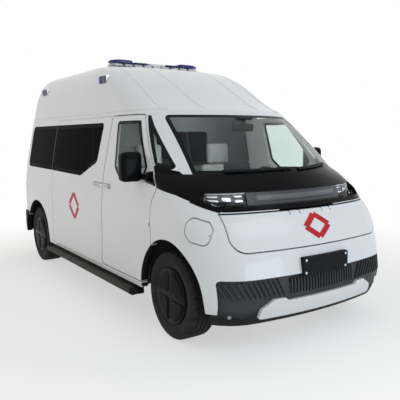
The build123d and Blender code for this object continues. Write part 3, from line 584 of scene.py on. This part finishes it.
class VAN_OT_ring_marks(bpy.types.Operator):
    """Plain red diamond rings on the nose and on both sides"""
    bl_idname = "van.ring_marks"
    bl_label = "Ring marks"

    THICK = 0.0012
    BAR_LENGTH = 0.74  # of a bar, as a share of the side of the diamond

    def ring(self, name, source, centre, axis, height, bar, body, wide=1.0):
        """Four bars round a diamond, laid on the skin that rays against the axis meet."""
        bm = bmesh.new()
        axis = Vector(axis)
        reach = height / 2 ** 0.5
        for turn in range(4):
            place = Matrix.Rotation(pi / 4 + turn * pi / 2, 4, "Z")
            place @= Matrix.Translation((0, reach / 2 - bar / 2, 0))
            place @= Matrix.Diagonal((reach * self.BAR_LENGTH, bar, 1, 1))
            bmesh.ops.create_grid(bm, x_segments=10, y_segments=2, size=0.5, matrix=place)
        flat = Matrix((axis.cross(-UP) * wide, UP, axis)).transposed()
        tree = skin_tree(source)
        for v in bm.verts:
            hit = tree.ray_cast(centre + flat @ v.co + axis * 0.5, -axis)[0]
            if hit is None:
                raise RuntimeError(f"{name} misses {source}")
            v.co = hit + axis * self.THICK
        face_out(bm)
        for f in bm.faces:
            if f.normal.dot(axis) < 0:
                f.normal_flip()
        thicken(add_piece(name, bm, "mark_red", body, smooth=None), self.THICK)

    def execute(self, context):
        high, bar = trim().ring, trim().ring_bar
        self.ring("ring_mark_nose", "bonnet", at(608, 0, 898), FORWARD, high * 0.66, bar * 0.85, "bonnet",
                  wide=1.45)
        for name, side, source in (("right", -1, "sliding_door"), ("left", 1, "body_shell")):
            centre = at(-1970, side * 990, 858)
            self.ring(f"ring_mark_{name}", source, centre, (0, side, 0), high, bar, "body")
        return {"FINISHED"}


class VAN_OT_tyres(bpy.types.Operator):
    """Tyres with grooves round the tread and cut shoulder blocks"""
    bl_idname = "van.tyres"
    bl_label = "Tyres"

    # (radius, out from the middle) of a side wall, from the rim to the tread
    WALL = ((205, 86), (226, 94), (232, 99), (238, 99), (246, 103), (262, 109), (282, 112.5), (296, 111.5),
            (300, 113), (304, 110.5), (316, 107), (324, 105), (334, 101.5), (341, 95), (345, 84))
    # (radius, out from the middle, 1 at the bottom of a groove) of half the tread
    TREAD = ((345.4, 66, 0), (345.4, 63, 1), (345.4, 57, 1), (346, 54, 0),
             (346.5, 26, 0), (346.5, 23, 1), (346.5, 15, 1), (346.8, 12, 0))
    CUT_RADIUS = 0.336  # cut blocks lie beyond this radius
    CUT_SPAN = (0.067, 0.1)  # and between these distances from the middle
    CUT_EVERY = 4  # steps from one cut to the next

    def shoulder_cuts(self, bm, centre, steps):
        """Faces of both shoulders that are cut; those of the inner side lie between those of the outer."""
        cuts = []
        near, far = self.CUT_SPAN
        for f in bm.faces:
            away = f.calc_center_median() - centre
            flat = Vector((away.x, away.z))
            step = round((flat.angle_signed(Vector((1, 0))) / (2 * pi)) % 1 * steps - 0.5)
            due = step % self.CUT_EVERY == (0 if away.y > 0 else self.CUT_EVERY // 2)
            if due and flat.length > self.CUT_RADIUS and near < abs(away.y) < far:
                cuts.append(f)
        return cuts

    def execute(self, context):
        depth, steps = trim().groove / MM, trim().steps
        half = [*self.WALL, *((r - depth * low, w) for r, w, low in self.TREAD)]
        profile = half + [(r, -w) for r, w in reversed(half)] + half[:1]
        for end, x in ENDS:
            for name, side in SIDES:
                bm = bmesh.new()
                centre = Vector((x, side * TYRE_OUT, AXLE_HIGH))
                turned(bm, profile, centre, (0, 1, 0), steps)
                bmesh.ops.inset_region(bm, faces=self.shoulder_cuts(bm, centre, steps), thickness=0.001,
                                       depth=-0.005, use_even_offset=True)
                piece = add_piece(f"tyre_dressed_{end}_{name}", bm, "tyre", f"wheel_{end}_{name}",
                                  smooth=32)
                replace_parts(piece, f"tyre_{end}_{name}")
        return {"FINISHED"}


class VAN_OT_wheel_trim(bpy.types.Operator):
    """Bladed covers on the wheels and dark edges inside the wheel arches"""
    bl_idname = "van.wheel_trim"
    bl_label = "Wheel trim"

    COVER_OUT = 0.9636  # Y of the foot of a cover
    DISC = ((0, 1), (192, 1), (208, -1), (216, -5), (214, -7), (0, -1))  # (radius, out) of its disc
    BLADES = 4
    BLADE_RADII = range(44, 201, 26)
    BLADE_STEPS = 12  # round a blade
    LIP_STEPS = 120  # along an arch edge
    LIP_FROM, LIP_TURN = -8, 196  # degrees
    SKIN_OUT, LIP_IN = 0.93, 0.915  # an edge lies on skin that is further out and reaches in to this

    def cover(self, name, centre, side):
        """Dark disc with tilted blades set round it like a pinwheel."""
        bm = bmesh.new()
        turned(bm, self.DISC, centre, (0, side, 0), 72)
        add_piece(f"cover_disc_{name}", bm, "frit", f"wheel_{name}", slot="wheel_cover")
        bm = bmesh.new()
        for turn in range(self.BLADES):
            rows = []
            for radius in self.BLADE_RADII:
                first, last = asin(9 / radius), pi / 2 - asin(30 / radius)
                row = []
                for k in range(self.BLADE_STEPS + 1):
                    share = k / self.BLADE_STEPS
                    angle = first + (last - first) * share + turn * 2 * pi / self.BLADES
                    rise = 3 + 6 * share - 3 * (radius / 200) ** 4
                    spot = Vector((cos(angle) * radius, side * rise, sin(angle) * radius))
                    row.append(bm.verts.new(centre + spot * MM))
                rows.append(row)
            bridge(bm, rows, (0, side, 0))
        thicken(add_piece(f"cover_blades_{name}", bm, "wheel_cover", f"wheel_{name}"), 0.009)

    def lip(self, name, source, body, x, radius, side):
        """Dark ribbon over the cut edge of a panel round a wheel arch."""
        tree = skin_tree(source)
        bm = bmesh.new()
        centre = Vector((x, 0, AXLE_HIGH))
        last = None
        for i in range(self.LIP_STEPS + 1):
            angle = radians(self.LIP_FROM + self.LIP_TURN * i / self.LIP_STEPS)
            along = Vector((cos(angle), 0, sin(angle)))
            hit = side_hit(tree, centre + along * (radius + 4) * MM, side)
            pair = None
            if hit is not None and abs(hit.y) >= self.SKIN_OUT:
                spot = centre + along * (radius - 0.5) * MM
                pair = [bm.verts.new((spot.x, side * y, spot.z)) for y in (abs(hit.y) - 0.003, self.LIP_IN)]
                if last:
                    bridge(bm, (last, pair))
            last = pair
        if not bm.faces:
            raise RuntimeError(f"{name} finds no edge of {source}")
        face_out(bm)
        thicken(add_piece(name, bm, "dark_plastic", body), 0.001)

    def execute(self, context):
        for name, side in SIDES:
            for end, x in ENDS:
                self.cover(f"{end}_{name}", Vector((x, side * self.COVER_OUT, AXLE_HIGH)), side)
            door = f"front_door_{name}"
            for part, source, body, (_, x), radius in (("door", door, door, ENDS[0], 448),
                                                       ("wing", "front_wings", "body", ENDS[0], 448),
                                                       ("sill", "body_shell", "body", ENDS[0], 448),
                                                       ("rear", "body_shell", "body", ENDS[1], 443)):
                self.lip(f"arch_edge_{part}_{name}", source, body, x, radius, side)
        return {"FINISHED"}


class VAN_OT_roof_trim(bpy.types.Operator):
    """Drip rails along the sides of the roof with a painted shade line under each, and raised beads up its
    front
    """
    bl_idname = "van.roof_trim"
    bl_label = "Roof trim"

    RAIL_SPOTS = [(-560 - 79 * i, 1832) for i in range(40)]  # (x, z)
    BEADS = ((300, 330), (660, 610))  # distance of a bead from the middle, at its front and at its rear
    BEAD_STEPS = 31
    BEAD_LOW = 1.84  # a bead starts above this height

    def execute(self, context):
        tree = skin_tree("high_roof")
        rails, grooves, beads = bmesh.new(), bmesh.new(), bmesh.new()
        for _, side in SIDES:
            out = Vector((0, side * MM, 0))
            skin = [side_hit(tree, at(x, 0, z), side) for x, z in self.RAIL_SPOTS]
            rail = [spot + out for spot in skin]
            swept(rails, rail, 0.010)
            # Thin bar in darker paint under each rail: a painted shade line
            swept(grooves, [spot - out - UP * 0.013 for spot in rail], 0.003)
            for front, rear in self.BEADS:
                line = []
                for i in range(self.BEAD_STEPS + 1):
                    y = front + (rear - front) * i / self.BEAD_STEPS
                    hit = tree.ray_cast(at(-430 - 45 * i, side * y, 2800), -UP)[0]
                    if hit is not None and hit.z > self.BEAD_LOW:
                        line.append(hit - UP * 0.024)
                swept(beads, line, 0.028, 28)
        add_piece("roof_drip_rails", rails, "paint_white", smooth=50)
        # The darker bars are painted shade under the rails
        add_piece("roof_drip_grooves", grooves, "recess", smooth=50)
        add_piece("roof_beads", beads, "paint_white", smooth=50)
        return {"FINISHED"}


class VAN_OT_roof_lamps(bpy.types.Operator):
    """Rounded domes and clear middle of the light bar, and the two-part marker lamps on the roof sides"""
    bl_idname = "van.roof_lamps"
    bl_label = "Roof lamps"

    BAR_X = -1935
    RINGS, RING_STEPS = 40, 16  # steps along a lens and over it
    SQUARE = 0.6  # power that makes a half round squarer
    # (ends along Y, lengths of the rounded ends, top) of the blue domes
    DOMES = (((-563, -286), (120, 50), 2436), ((286, 563), (50, 120), 2436),
             ((-284, -114), (14, 14), 2414), ((114, 284), (14, 14), 2414))
    MARKERS = (-1520, -3363)  # X of the marker lamps

    def capsule(self, bm, ends, rounds, low, top, half=85):
        """Lens along Y with a flat foot, its ends rounded in plan over the given lengths."""
        (start, end), (first, last) = ends, rounds
        rings = []
        for i in range(self.RINGS + 1):
            y = start + (end - start) * (0.5 - 0.5 * cos(pi * i / self.RINGS))
            into = max((first - (y - start)) / first, (last - (end - y)) / last, 0.0)
            share = max(1 - into * into, 0.0004) ** 0.5
            high = (top - low) * (0.35 + 0.65 * share)
            ring = []
            for k in range(self.RING_STEPS + 1):
                turn = pi * k / self.RING_STEPS
                flat = abs(cos(turn)) ** self.SQUARE * (1 if turn < pi / 2 else -1)
                ring.append(bm.verts.new(at(self.BAR_X + half * share * flat, y,
                                            low + high * sin(turn) ** self.SQUARE)))
            rings.append(ring)
        tube(bm, rings)

    def execute(self, context):
        bm = bmesh.new()
        self.capsule(bm, (-565, 565), (70, 70), 2356, 2394)
        self.capsule(bm, (-112, 112), (14, 14), 2394.5, 2414, 80)
        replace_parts(add_piece("bar_lens_dressed", bm, "lamp_lens"), "light_bar_lens")
        bm = bmesh.new()
        for ends, rounds, top in self.DOMES:
            self.capsule(bm, ends, rounds, 2395, top)
        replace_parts(add_piece("bar_domes_dressed", bm, "blue_lens"), "light_bar_domes")
        blue, pale, rims = bmesh.new(), bmesh.new(), bmesh.new()
        for _, side in SIDES:
            for x in self.MARKERS:
                low, high = sorted((side * 772, side * 834))
                block(blue, (x - 76, low, 2124), (x + 18, high, 2200), 12)
                block(pale, (x + 20, low, 2124), (x + 76, high, 2200), 12)
                low, high = sorted((side * 770, side * 816))
                block(rims, (x - 84, low, 2116), (x + 84, high, 2208), 10)
        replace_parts(add_piece("beacon_blue_lenses", blue, "blue_lens"), "roof_beacons")
        add_piece("beacon_pale_lenses", pale, "bar_middle", slot="lamp_lens")
        add_piece("beacon_rims", rims, "chrome")
        return {"FINISHED"}


class VAN_OT_lamp_parts(bpy.types.Operator):
    """Insides and sills of the head lamps, light bar reflectors, fog lamps and red parts at the rear"""
    bl_idname = "van.lamp_parts"
    bl_label = "Lamp parts"

    SILL_EDGE = ((420, 1036), (362, 1056), (216, 1107), (78, 1147))  # (x, z) of the foot of a head lamp
    SILL_SPOTS = [206 + 9.6 * i for i in range(22)]
    SILL_GAUGE = 22  # height over which the slope of the wing is taken
    SILL_HIGH, SILL_TAPER = 38, 0.24
    SILL_TAPER_X = 330  # ahead of this a sill gets lower
    SILL_OUT = 0.0012
    LAMP_X = 600  # rays to the head lamps start ahead of this
    # (y, low, top, lift of the low edge) of the bright optics, each 80 wide
    OPTICS = ((520, 1084, 1118, 0), (520, 1126, 1148, 0), (614, 1084, 1148, 5), (708, 1092, 1120, 10),
              (708, 1127, 1148, 0))
    FOG = ((0, 5), (8, 5), (13, 2), (15, 2), (15, -6), (0, -6))  # (radius, out) of a fog lamp
    REAR_X = -3900

    def lamp_sills(self):
        """Black strips that carry the band on below the outer ends of the head lamps, each with a shelf."""
        tree = skin_tree("front_wings")
        bm = bmesh.new()
        for _, side in SIDES:
            out = Vector((self.SILL_OUT, side * self.SILL_OUT, 0))
            faces, shelves = [], []
            for x in self.SILL_SPOTS:
                (x1, z1), (x0, z0) = next(pair for pair in zip(self.SILL_EDGE, self.SILL_EDGE[1:])
                                          if pair[1][0] <= x <= pair[0][0])
                foot = z0 + (z1 - z0) * (x - x0) / (x1 - x0) - 7
                spots = [side_hit(tree, at(x, 0, z), side) for z in (foot - self.SILL_GAUGE, foot)]
                if None in spots:
                    raise RuntimeError("the lamp sill misses the wing")
                slope = (spots[1] - spots[0]) / self.SILL_GAUGE
                high = self.SILL_HIGH - self.SILL_TAPER * max(x - self.SILL_TAPER_X, 0)
                faces.append([bm.verts.new(spots[1] + slope * high * k / 3 + out) for k in range(4)])
                shelf = spots[1] + slope * 9
                shelves.append([bm.verts.new(shelf - Vector((0, side * y, 0))) for y in (0.002, 0.09)])
            bridge(bm, faces, (0, side, 0))
            bridge(bm, shelves, UP)
        thicken(add_piece("lamp_sills", bm, "gloss_black"), 0.012)

    def execute(self, context):
        tree = skin_tree("headlamps")
        backs, optics, lines = bmesh.new(), bmesh.new(), bmesh.new()
        for _, side in SIDES:
            def lay(bm, y0, y1, z0, z1, steps, depth, lift=0):
                corners = across(self.LAMP_X, side * y0, side * y1, z0, z1, lift)
                laid(bm, [tree], FORWARD, corners, steps, -depth)

            lay(backs, 506, 790, 1076, 1163, (16, 2), 0.030, 30)
            for y, low, top, lift in self.OPTICS:
                lay(optics, y, y + 80, low, top, (5, 2), 0.006, lift)
            lay(lines, 504, 790, 1153, 1161, (16, 1), 0.003)
        add_piece("headlamp_backs", backs, "lamp_back")
        self.lamp_sills()
        thicken(add_piece("headlamp_optics", optics, "chrome", smooth=30), 0.004)
        thicken(add_piece("headlamp_light_lines", lines, "line_white"), 0.003)
        bar = bmesh.new()
        for y in range(-472, 473, 118):
            block(bar, (-1994, y - 44, 2360), (-1876, y + 44, 2386), 5, 2)
        add_piece("light_bar_reflectors", bar, "line_white")
        grille = skin_tree("bumper_grille")
        for name, side in SIDES:
            bm = bmesh.new()
            spot = grille.ray_cast(at(900, side * 800, 299), BACK)[0]
            turned(bm, self.FOG, spot, (0.8, 0.6 * side, 0), 28)
            add_piece(f"fog_lamp_{name}", bm, "lamp_back")
            plate(f"rear_reflector_{name}", "rear_bumper", BACK,
                  across(self.REAR_X, side * 560, side * 700, 520, 552), "red_lens")
        plate("high_brake_lamp", "high_roof", BACK, across(self.REAR_X, -170, 170, 1868, 1894), "red_lens")
        return {"FINISHED"}


class VAN_OT_front_trim(bpy.types.Operator):
    """Black sheet of painted shade behind the vent slats, plate bolts, middle of the lamp bar and hinge
    bosses of the bonnet
    """
    bl_idname = "van.front_trim"
    bl_label = "Front trim"

    VENT_X, VENT_Z = 707.5, 485
    VENT_WIDE, VENT_HIGH = 690, 124
    VENT_BOW = 6750  # twice the radius that the painted shade sheet is bowed to
    BOLT = ((0, 4), (7, 4), (10, 1), (10, -2), (0, -2))  # (radius, out)
    BOLTS = [(y, z) for y in (-215, 215) for z in (570, 666)]
    HINGE_X, HINGE_Z = 541, 1010  # axis of the bonnet
    BOSS_RADIUS, BOSS_HALF = 16, 5.5
    BOSSES = (-220.2, -120.6, 120.6, 220.2)
    BOSS_ANGLES = [radians(a) for a in range(-100, 26, 9)]

    def execute(self, context):
        # Black sheet behind the slats: painted shade of the vent opening
        bm = bmesh.new()
        for v in bmesh.ops.create_grid(bm, x_segments=24, y_segments=1, size=0.5)["verts"]:
            y, z = v.co.x * self.VENT_WIDE, self.VENT_Z + v.co.y * self.VENT_HIGH
            v.co = at(self.VENT_X - y * y / self.VENT_BOW, y, z)
        face_out(bm)
        thicken(add_piece("vent_back", bm, "frit"), 0.001)
        bm = bmesh.new()
        for y, z in self.BOLTS:
            turned(bm, self.BOLT, at(740, y, z), FORWARD, 16)
        add_piece("plate_bolts", bm, "line_white")
        plate("lamp_bar_middle", "lamp_bar", FORWARD, across(700, -430, 430, 1088, 1148), "bar_middle",
              steps=(24, 2))
        bm = bmesh.new()
        fan = [(self.HINGE_X, self.HINGE_Z)]
        fan += [(self.HINGE_X + self.BOSS_RADIUS * cos(a), self.HINGE_Z + self.BOSS_RADIUS * sin(a))
                for a in self.BOSS_ANGLES]
        for y in self.BOSSES:
            ends = (y - self.BOSS_HALF, y + self.BOSS_HALF)
            tube(bm, [[bm.verts.new(at(x, end, z)) for x, z in fan] for end in ends])
        add_piece("bonnet_hinge_bosses", bm, "paint_white")
        return {"FINISHED"}


class VAN_OT_mirrors(bpy.types.Operator):
    """Door mirrors with rounded housings and their glass"""
    bl_idname = "van.mirrors"
    bl_label = "Mirrors"

    MIRROR_Y, MIRROR_Z = 1060, 1345

    def execute(self, context):
        for name, side in SIDES:
            body, y = f"front_door_{name}", side * self.MIRROR_Y
            bm = pad((94, 124, 58), seated((-456, y, self.MIRROR_Z), UP, FORWARD), 42, 4)
            block(bm, (-450, side * 994 - 17, 1240), (-270, side * 994 + 17, 1288), 12)
            block(bm, (-338, side * 978 - 26, 1239), (-270, side * 978 + 26, 1289), 8)
            piece = add_piece(f"mirror_dressed_{name}", bm, "gloss_black", body, smooth=50)
            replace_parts(piece, f"mirror_{name}")
            bm = pad((78, 104, 3), seated((-514, y, self.MIRROR_Z), UP, BACK), 2.5, cuts=6)
            add_piece(f"mirror_glass_{name}", bm, "chrome", body, smooth=50)
        return {"FINISHED"}


class VAN_OT_seats(bpy.types.Operator):
    """Front seats with crowned pads, head rests and pedestals"""
    bl_idname = "van.seats"
    bl_label = "Seats"

    SEAT_Y = 430
    # Pads: half sizes, x, z, direction of the length, direction of the face, rounding, crown and seams
    PADS = {
        "base": ((236, 206, 58), -912, 710, (1, 0, 0.09), (-0.09, 0, 1), 38, 16,
                 ((0, -0.6, 9), (0, 0.6, 9), (1, 0.35, 8))),
        "back": ((230, 268, 44), -1226, 1018, (-0.258, 0, 0.966), (0.966, 0, 0.258), 34, 18,
                 ((0, -0.58, 9), (0, 0.58, 9), (1, -0.2, 8), (1, 0.55, 8))),
        "head_rest": ((136, 112, 36), -1296, 1396, (-0.06, 0, 1), (1, 0, 0.06), 32, 12, ((0, 0.0, 4),)),
    }

    def execute(self, context):
        for name, side in SIDES:
            y = side * self.SEAT_Y
            for part, (half, x, z, along, face, edge, crown, seams) in self.PADS.items():
                bm = pad(half, seated((x, y, z), along, face), edge, crown, seams)
                piece = add_piece(f"seat_{part}_{name}", bm, "seat_cloth", smooth=80)
                smooth = piece.modifiers.new("smooth", "SUBSURF")
                smooth.levels = smooth.render_levels = 1
                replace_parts(piece, "front_seats")
            bm = bmesh.new()
            block(bm, (-1195, y - 205, 364), (-765, y + 205, 655), 18)
            for post in (y - 48, y + 48):
                swept(bm, [at(-1303, post, 1262), at(-1302, post, 1352)], 0.007)
            buckle = y - side * 225
            block(bm, (-1150, buckle - 14, 650), (-1010, buckle + 14, 760), 10)
            add_piece(f"seat_frame_{name}", bm, "dash_plastic")
        return {"FINISHED"}


class VAN_OT_cab_parts(bpy.types.Operator):
    """Display, instruments and the inside mirror with its pod"""
    bl_idname = "van.cab_parts"
    bl_label = "Cab parts"

    def execute(self, context):
        bm = pad((150, 88, 9), seated((-322, -40, 1258), (-0.18, 0, 1), (-1, 0, -0.18)), 7, cuts=4)
        add_piece("dash_display", bm, "screen")
        bm = pad((140, 52, 9), seated((-312, 400, 1236), (-0.3, 0, 1), (-1, 0, -0.3)), 7, cuts=4)
        add_piece("instrument_screen", bm, "screen")
        bm = pad((122, 36, 12), seated((-300, 0, 1668), (0.1, 0, 1), (-1, 0, 0.1)), 11, 2, cuts=6)
        block(bm, (-296, -14, 1690), (-268, 14, 1748), 6)
        block(bm, (-330, -80, 1738), (-246, 80, 1772), 14)
        add_piece("inside_mirror", bm, "dash_plastic")
        return {"FINISHED"}


class VAN_OT_side_trim(bpy.types.Operator):
    """Ribs and front caps of the running boards, plates of painted shade behind the handles for their cups,
    and the rear door handle
    """
    bl_idname = "van.side_trim"
    bl_label = "Side trim"

    RIBS = (958, 977, 996, 1015, 1032)  # Y of the ribs
    # Plates of painted shade that stand for the handle cups: name, side, node, body and the ends along X
    CUPS = (("slide", -1, "sliding_door", "body", -1449, -1245),
            ("right", -1, "front_door_right", "front_door_right", -1194, -1046),
            ("left", 1, "front_door_left", "front_door_left", -1194, -1046))
    CUP_LOW, CUP_TOP = 1108, 1156
    CUP_THICK = 0.0008

    def taper(self, corners, side):
        """Draw the front of a cap in and down, and its lower edge up."""
        for v in corners:
            if v.co.x > at(-520, 0, 0).x:
                v.co.y -= side * 0.055 * (abs(v.co.y) > 1.0)
                v.co.z = max(v.co.z - 0.02, 0.240) if v.co.z > 0.26 else v.co.z + 0.012

    def execute(self, context):
        ribs, caps = bmesh.new(), bmesh.new()
        for _, side in SIDES:
            for y in self.RIBS:
                low, high = sorted((side * (y - 4), side * (y + 4)))
                block(ribs, (-2750, low, 282), (-600, high, 287), 1.5, 2)
            low, high = sorted((side * 930, side * 1044))
            self.taper(block(caps, (-562, low, 232), (-492, high, 284)), side)
        bmesh.ops.bevel(caps, geom=list(caps.edges), offset=0.008, affect="EDGES", segments=3, profile=0.5,
                        material=-1)
        add_piece("step_ribs", ribs, "step_rib")
        add_piece("step_caps", caps, "dark_plastic")
        for name, side, source, body, rear, front in self.CUPS:
            low, top = self.CUP_LOW, self.CUP_TOP
            corners = beside(side, ((rear, low), (front, low), (front, top), (rear, top)))
            # Darker paint laid on the door skin: painted shade of the cup behind a handle
            plate(f"handle_cup_{name}", source, (0, side, 0), corners, "recess", body, (8, 3),
                  self.CUP_THICK)
        bm = bmesh.new()
        block(bm, (-3934, -120, 1040), (-3888, -40, 1078), 10)
        add_piece("rear_door_handle", bm, "dark_plastic", "rear_door_right")
        return {"FINISHED"}


class VAN_OT_stage(bpy.types.Operator):
    """Pale floor, soft light, white surround and the camera"""
    bl_idname = "van.stage"
    bl_label = "Stage"

    NEAR, FAR = 2.4, 4.6  # distances over which the floor brightens to white
    COOL, WARM = (0.84, 0.93, 1.06), (1.0, 0.975, 0.89)  # light from ahead and from the other sides
    SENSOR = 36.0
    SHIFT = (-0.0298, -0.0283)  # of the picture, as shares of its width

    def floor(self):
        """Wide floor that keeps its shadow near the van and is white further away."""
        bm = bmesh.new()
        bmesh.ops.create_grid(bm, x_segments=1, y_segments=1, size=60.0)
        piece = add_mesh("studio_floor", bm)
        material, tree, shader = blank_material("studio_floor")
        where = node(tree, "TexCoord").outputs["Object"]
        patch = node(tree, "TexNoise", {"Vector": where, "Scale": 0.7}).outputs["Fac"]
        set_inputs(tree, shader, {"Roughness": 0.9,
                                  "Base Color": blend(tree, patch, (0.90, 0.90, 0.90), (0.93, 0.93, 0.93))})
        glow = node(tree, "Emission", {"Color": (1, 1, 1), "Strength": 1.0})
        away = node(tree, "VectorMath", {0: where}, operation="LENGTH").outputs["Value"]
        share = maths(tree, "MULTIPLY", seen_rays(tree), ranged(tree, away, self.NEAR, self.FAR, 0.55))
        both = node(tree, "MixShader", {0: share, 1: shader.outputs["BSDF"], 2: glow.outputs["Emission"]})
        tree.links.new(both.outputs[0], tree.nodes["Material Output"].inputs["Surface"])
        piece.data.materials.append(material)

    def surround(self):
        """World that is seen as white and lights the van cooler from ahead."""
        world = bpy.data.worlds.new("studio")
        bpy.context.scene.world = world
        world.use_nodes = True
        tree = world.node_tree
        tree.nodes.clear()
        parts = node(tree, "SeparateXYZ", {0: node(tree, "TexCoord").outputs["Generated"]})
        ahead = ranged(tree, parts.outputs["X"], -0.1, 0.9)
        lit = node(tree, "Background", {"Color": blend(tree, ahead, self.WARM, self.COOL),
                                        "Strength": bpy.context.scene.van_stage.ambient})
        seen = node(tree, "Background", {"Color": (1, 1, 1), "Strength": 1.0})
        both = node(tree, "MixShader", {0: seen_rays(tree), 1: lit.outputs[0], 2: seen.outputs[0]})
        node(tree, "OutputWorld", {"Surface": both.outputs[0]})

    def lamp(self, name, place, target, size, power, colour=(1, 1, 1)):
        """Rectangular lamp that shines from one place to another."""
        light = bpy.data.lights.new(name, "AREA")
        light.shape, light.size, light.size_y, light.energy = "RECTANGLE", size[0], size[1], power
        light.color = colour
        lamp = bpy.data.objects.new(name, light)
        lamp.location = place
        lamp.rotation_mode = "QUATERNION"
        lamp.rotation_quaternion = (Vector(target) - Vector(place)).to_track_quat("-Z", "Y")
        bpy.context.scene.collection.objects.link(lamp)

    def camera(self):
        """Camera fitted to the photograph."""
        stage = bpy.context.scene.van_stage
        data = bpy.data.cameras.new("camera")
        data.sensor_fit, data.sensor_width, data.lens = "HORIZONTAL", self.SENSOR, stage.lens
        data.shift_x, data.shift_y = self.SHIFT
        data.clip_end = 500.0
        level = cos(stage.pitch)
        ahead = Vector((cos(stage.yaw) * level, sin(stage.yaw) * level, sin(stage.pitch)))
        right = Vector((sin(stage.yaw), -cos(stage.yaw), 0.0))
        up = right.cross(ahead)
        turn, keep = sin(stage.roll), cos(stage.roll)
        camera = bpy.data.objects.new("camera", data)
        place = Matrix((right * keep + up * turn, up * keep - right * turn, -ahead)).transposed().to_4x4()
        place.translation = stage.place
        camera.matrix_world = place
        bpy.context.scene.collection.objects.link(camera)
        bpy.context.scene.camera = camera

    def execute(self, context):
        stage = context.scene.van_stage
        self.floor()
        self.surround()
        self.lamp("key_lamp", (7.5, 1.5, 6.5), (0.6, 0, 1.0), (6.0, 4.0), stage.key, (0.80, 0.90, 1.0))
        self.lamp("fill_lamp", (0.5, -8.0, 4.0), (0.0, 0, 1.0), (7.0, 3.0), stage.fill, (1.0, 0.95, 0.86))
        self.lamp("nose_lamp", (8.0, 0.5, 0.9), (2.2, 0, 0.6), (4.0, 1.4), stage.nose, (0.76, 0.88, 1.0))
        self.lamp("cab_lamp", at(-620, 0, 1745), at(-1150, 0, 1000), (0.25, 1.1), stage.cab)
        self.camera()
        context.scene.view_settings.view_transform = "Standard"
        return {"FINISHED"}


class VAN_PT_panel(bpy.types.Panel):
    """Sidebar panel that lists the dressing steps"""
    bl_idname = "VAN_PT_panel"
    bl_label = "Van dressing"
    bl_space_type = "VIEW_3D"
    bl_region_type = "UI"
    bl_category = "Van"

    def draw(self, context):
        for step in STEPS:
            self.layout.operator(step.bl_idname)
        for name, group in GROUPS.items():
            box = self.layout.box()
            for key in group.__annotations__:
                box.prop(getattr(context.scene, name), key)


STEPS = (VAN_OT_finishes, VAN_OT_glass_borders, VAN_OT_ring_marks, VAN_OT_tyres, VAN_OT_wheel_trim,
         VAN_OT_roof_trim, VAN_OT_roof_lamps, VAN_OT_lamp_parts, VAN_OT_front_trim, VAN_OT_mirrors,
         VAN_OT_seats, VAN_OT_cab_parts, VAN_OT_side_trim, VAN_OT_stage)
GROUPS = {"van_colours": VanColours, "van_trim": VanTrim, "van_stage": VanStage}
CLASSES = (*GROUPS.values(), *STEPS, VAN_PT_panel)


def register():
    for cls in CLASSES:
        bpy.utils.register_class(cls)
    for key, cls in GROUPS.items():
        setattr(bpy.types.Scene, key, PointerProperty(type=cls))


def unregister():
    for key in GROUPS:
        delattr(bpy.types.Scene, key)
    for cls in reversed(CLASSES):
        bpy.utils.unregister_class(cls)


def main():
    register()
    for step in STEPS:
        area, name = step.bl_idname.split(".")
        getattr(getattr(bpy.ops, area), name)()


if __name__ == "__main__":
    main()
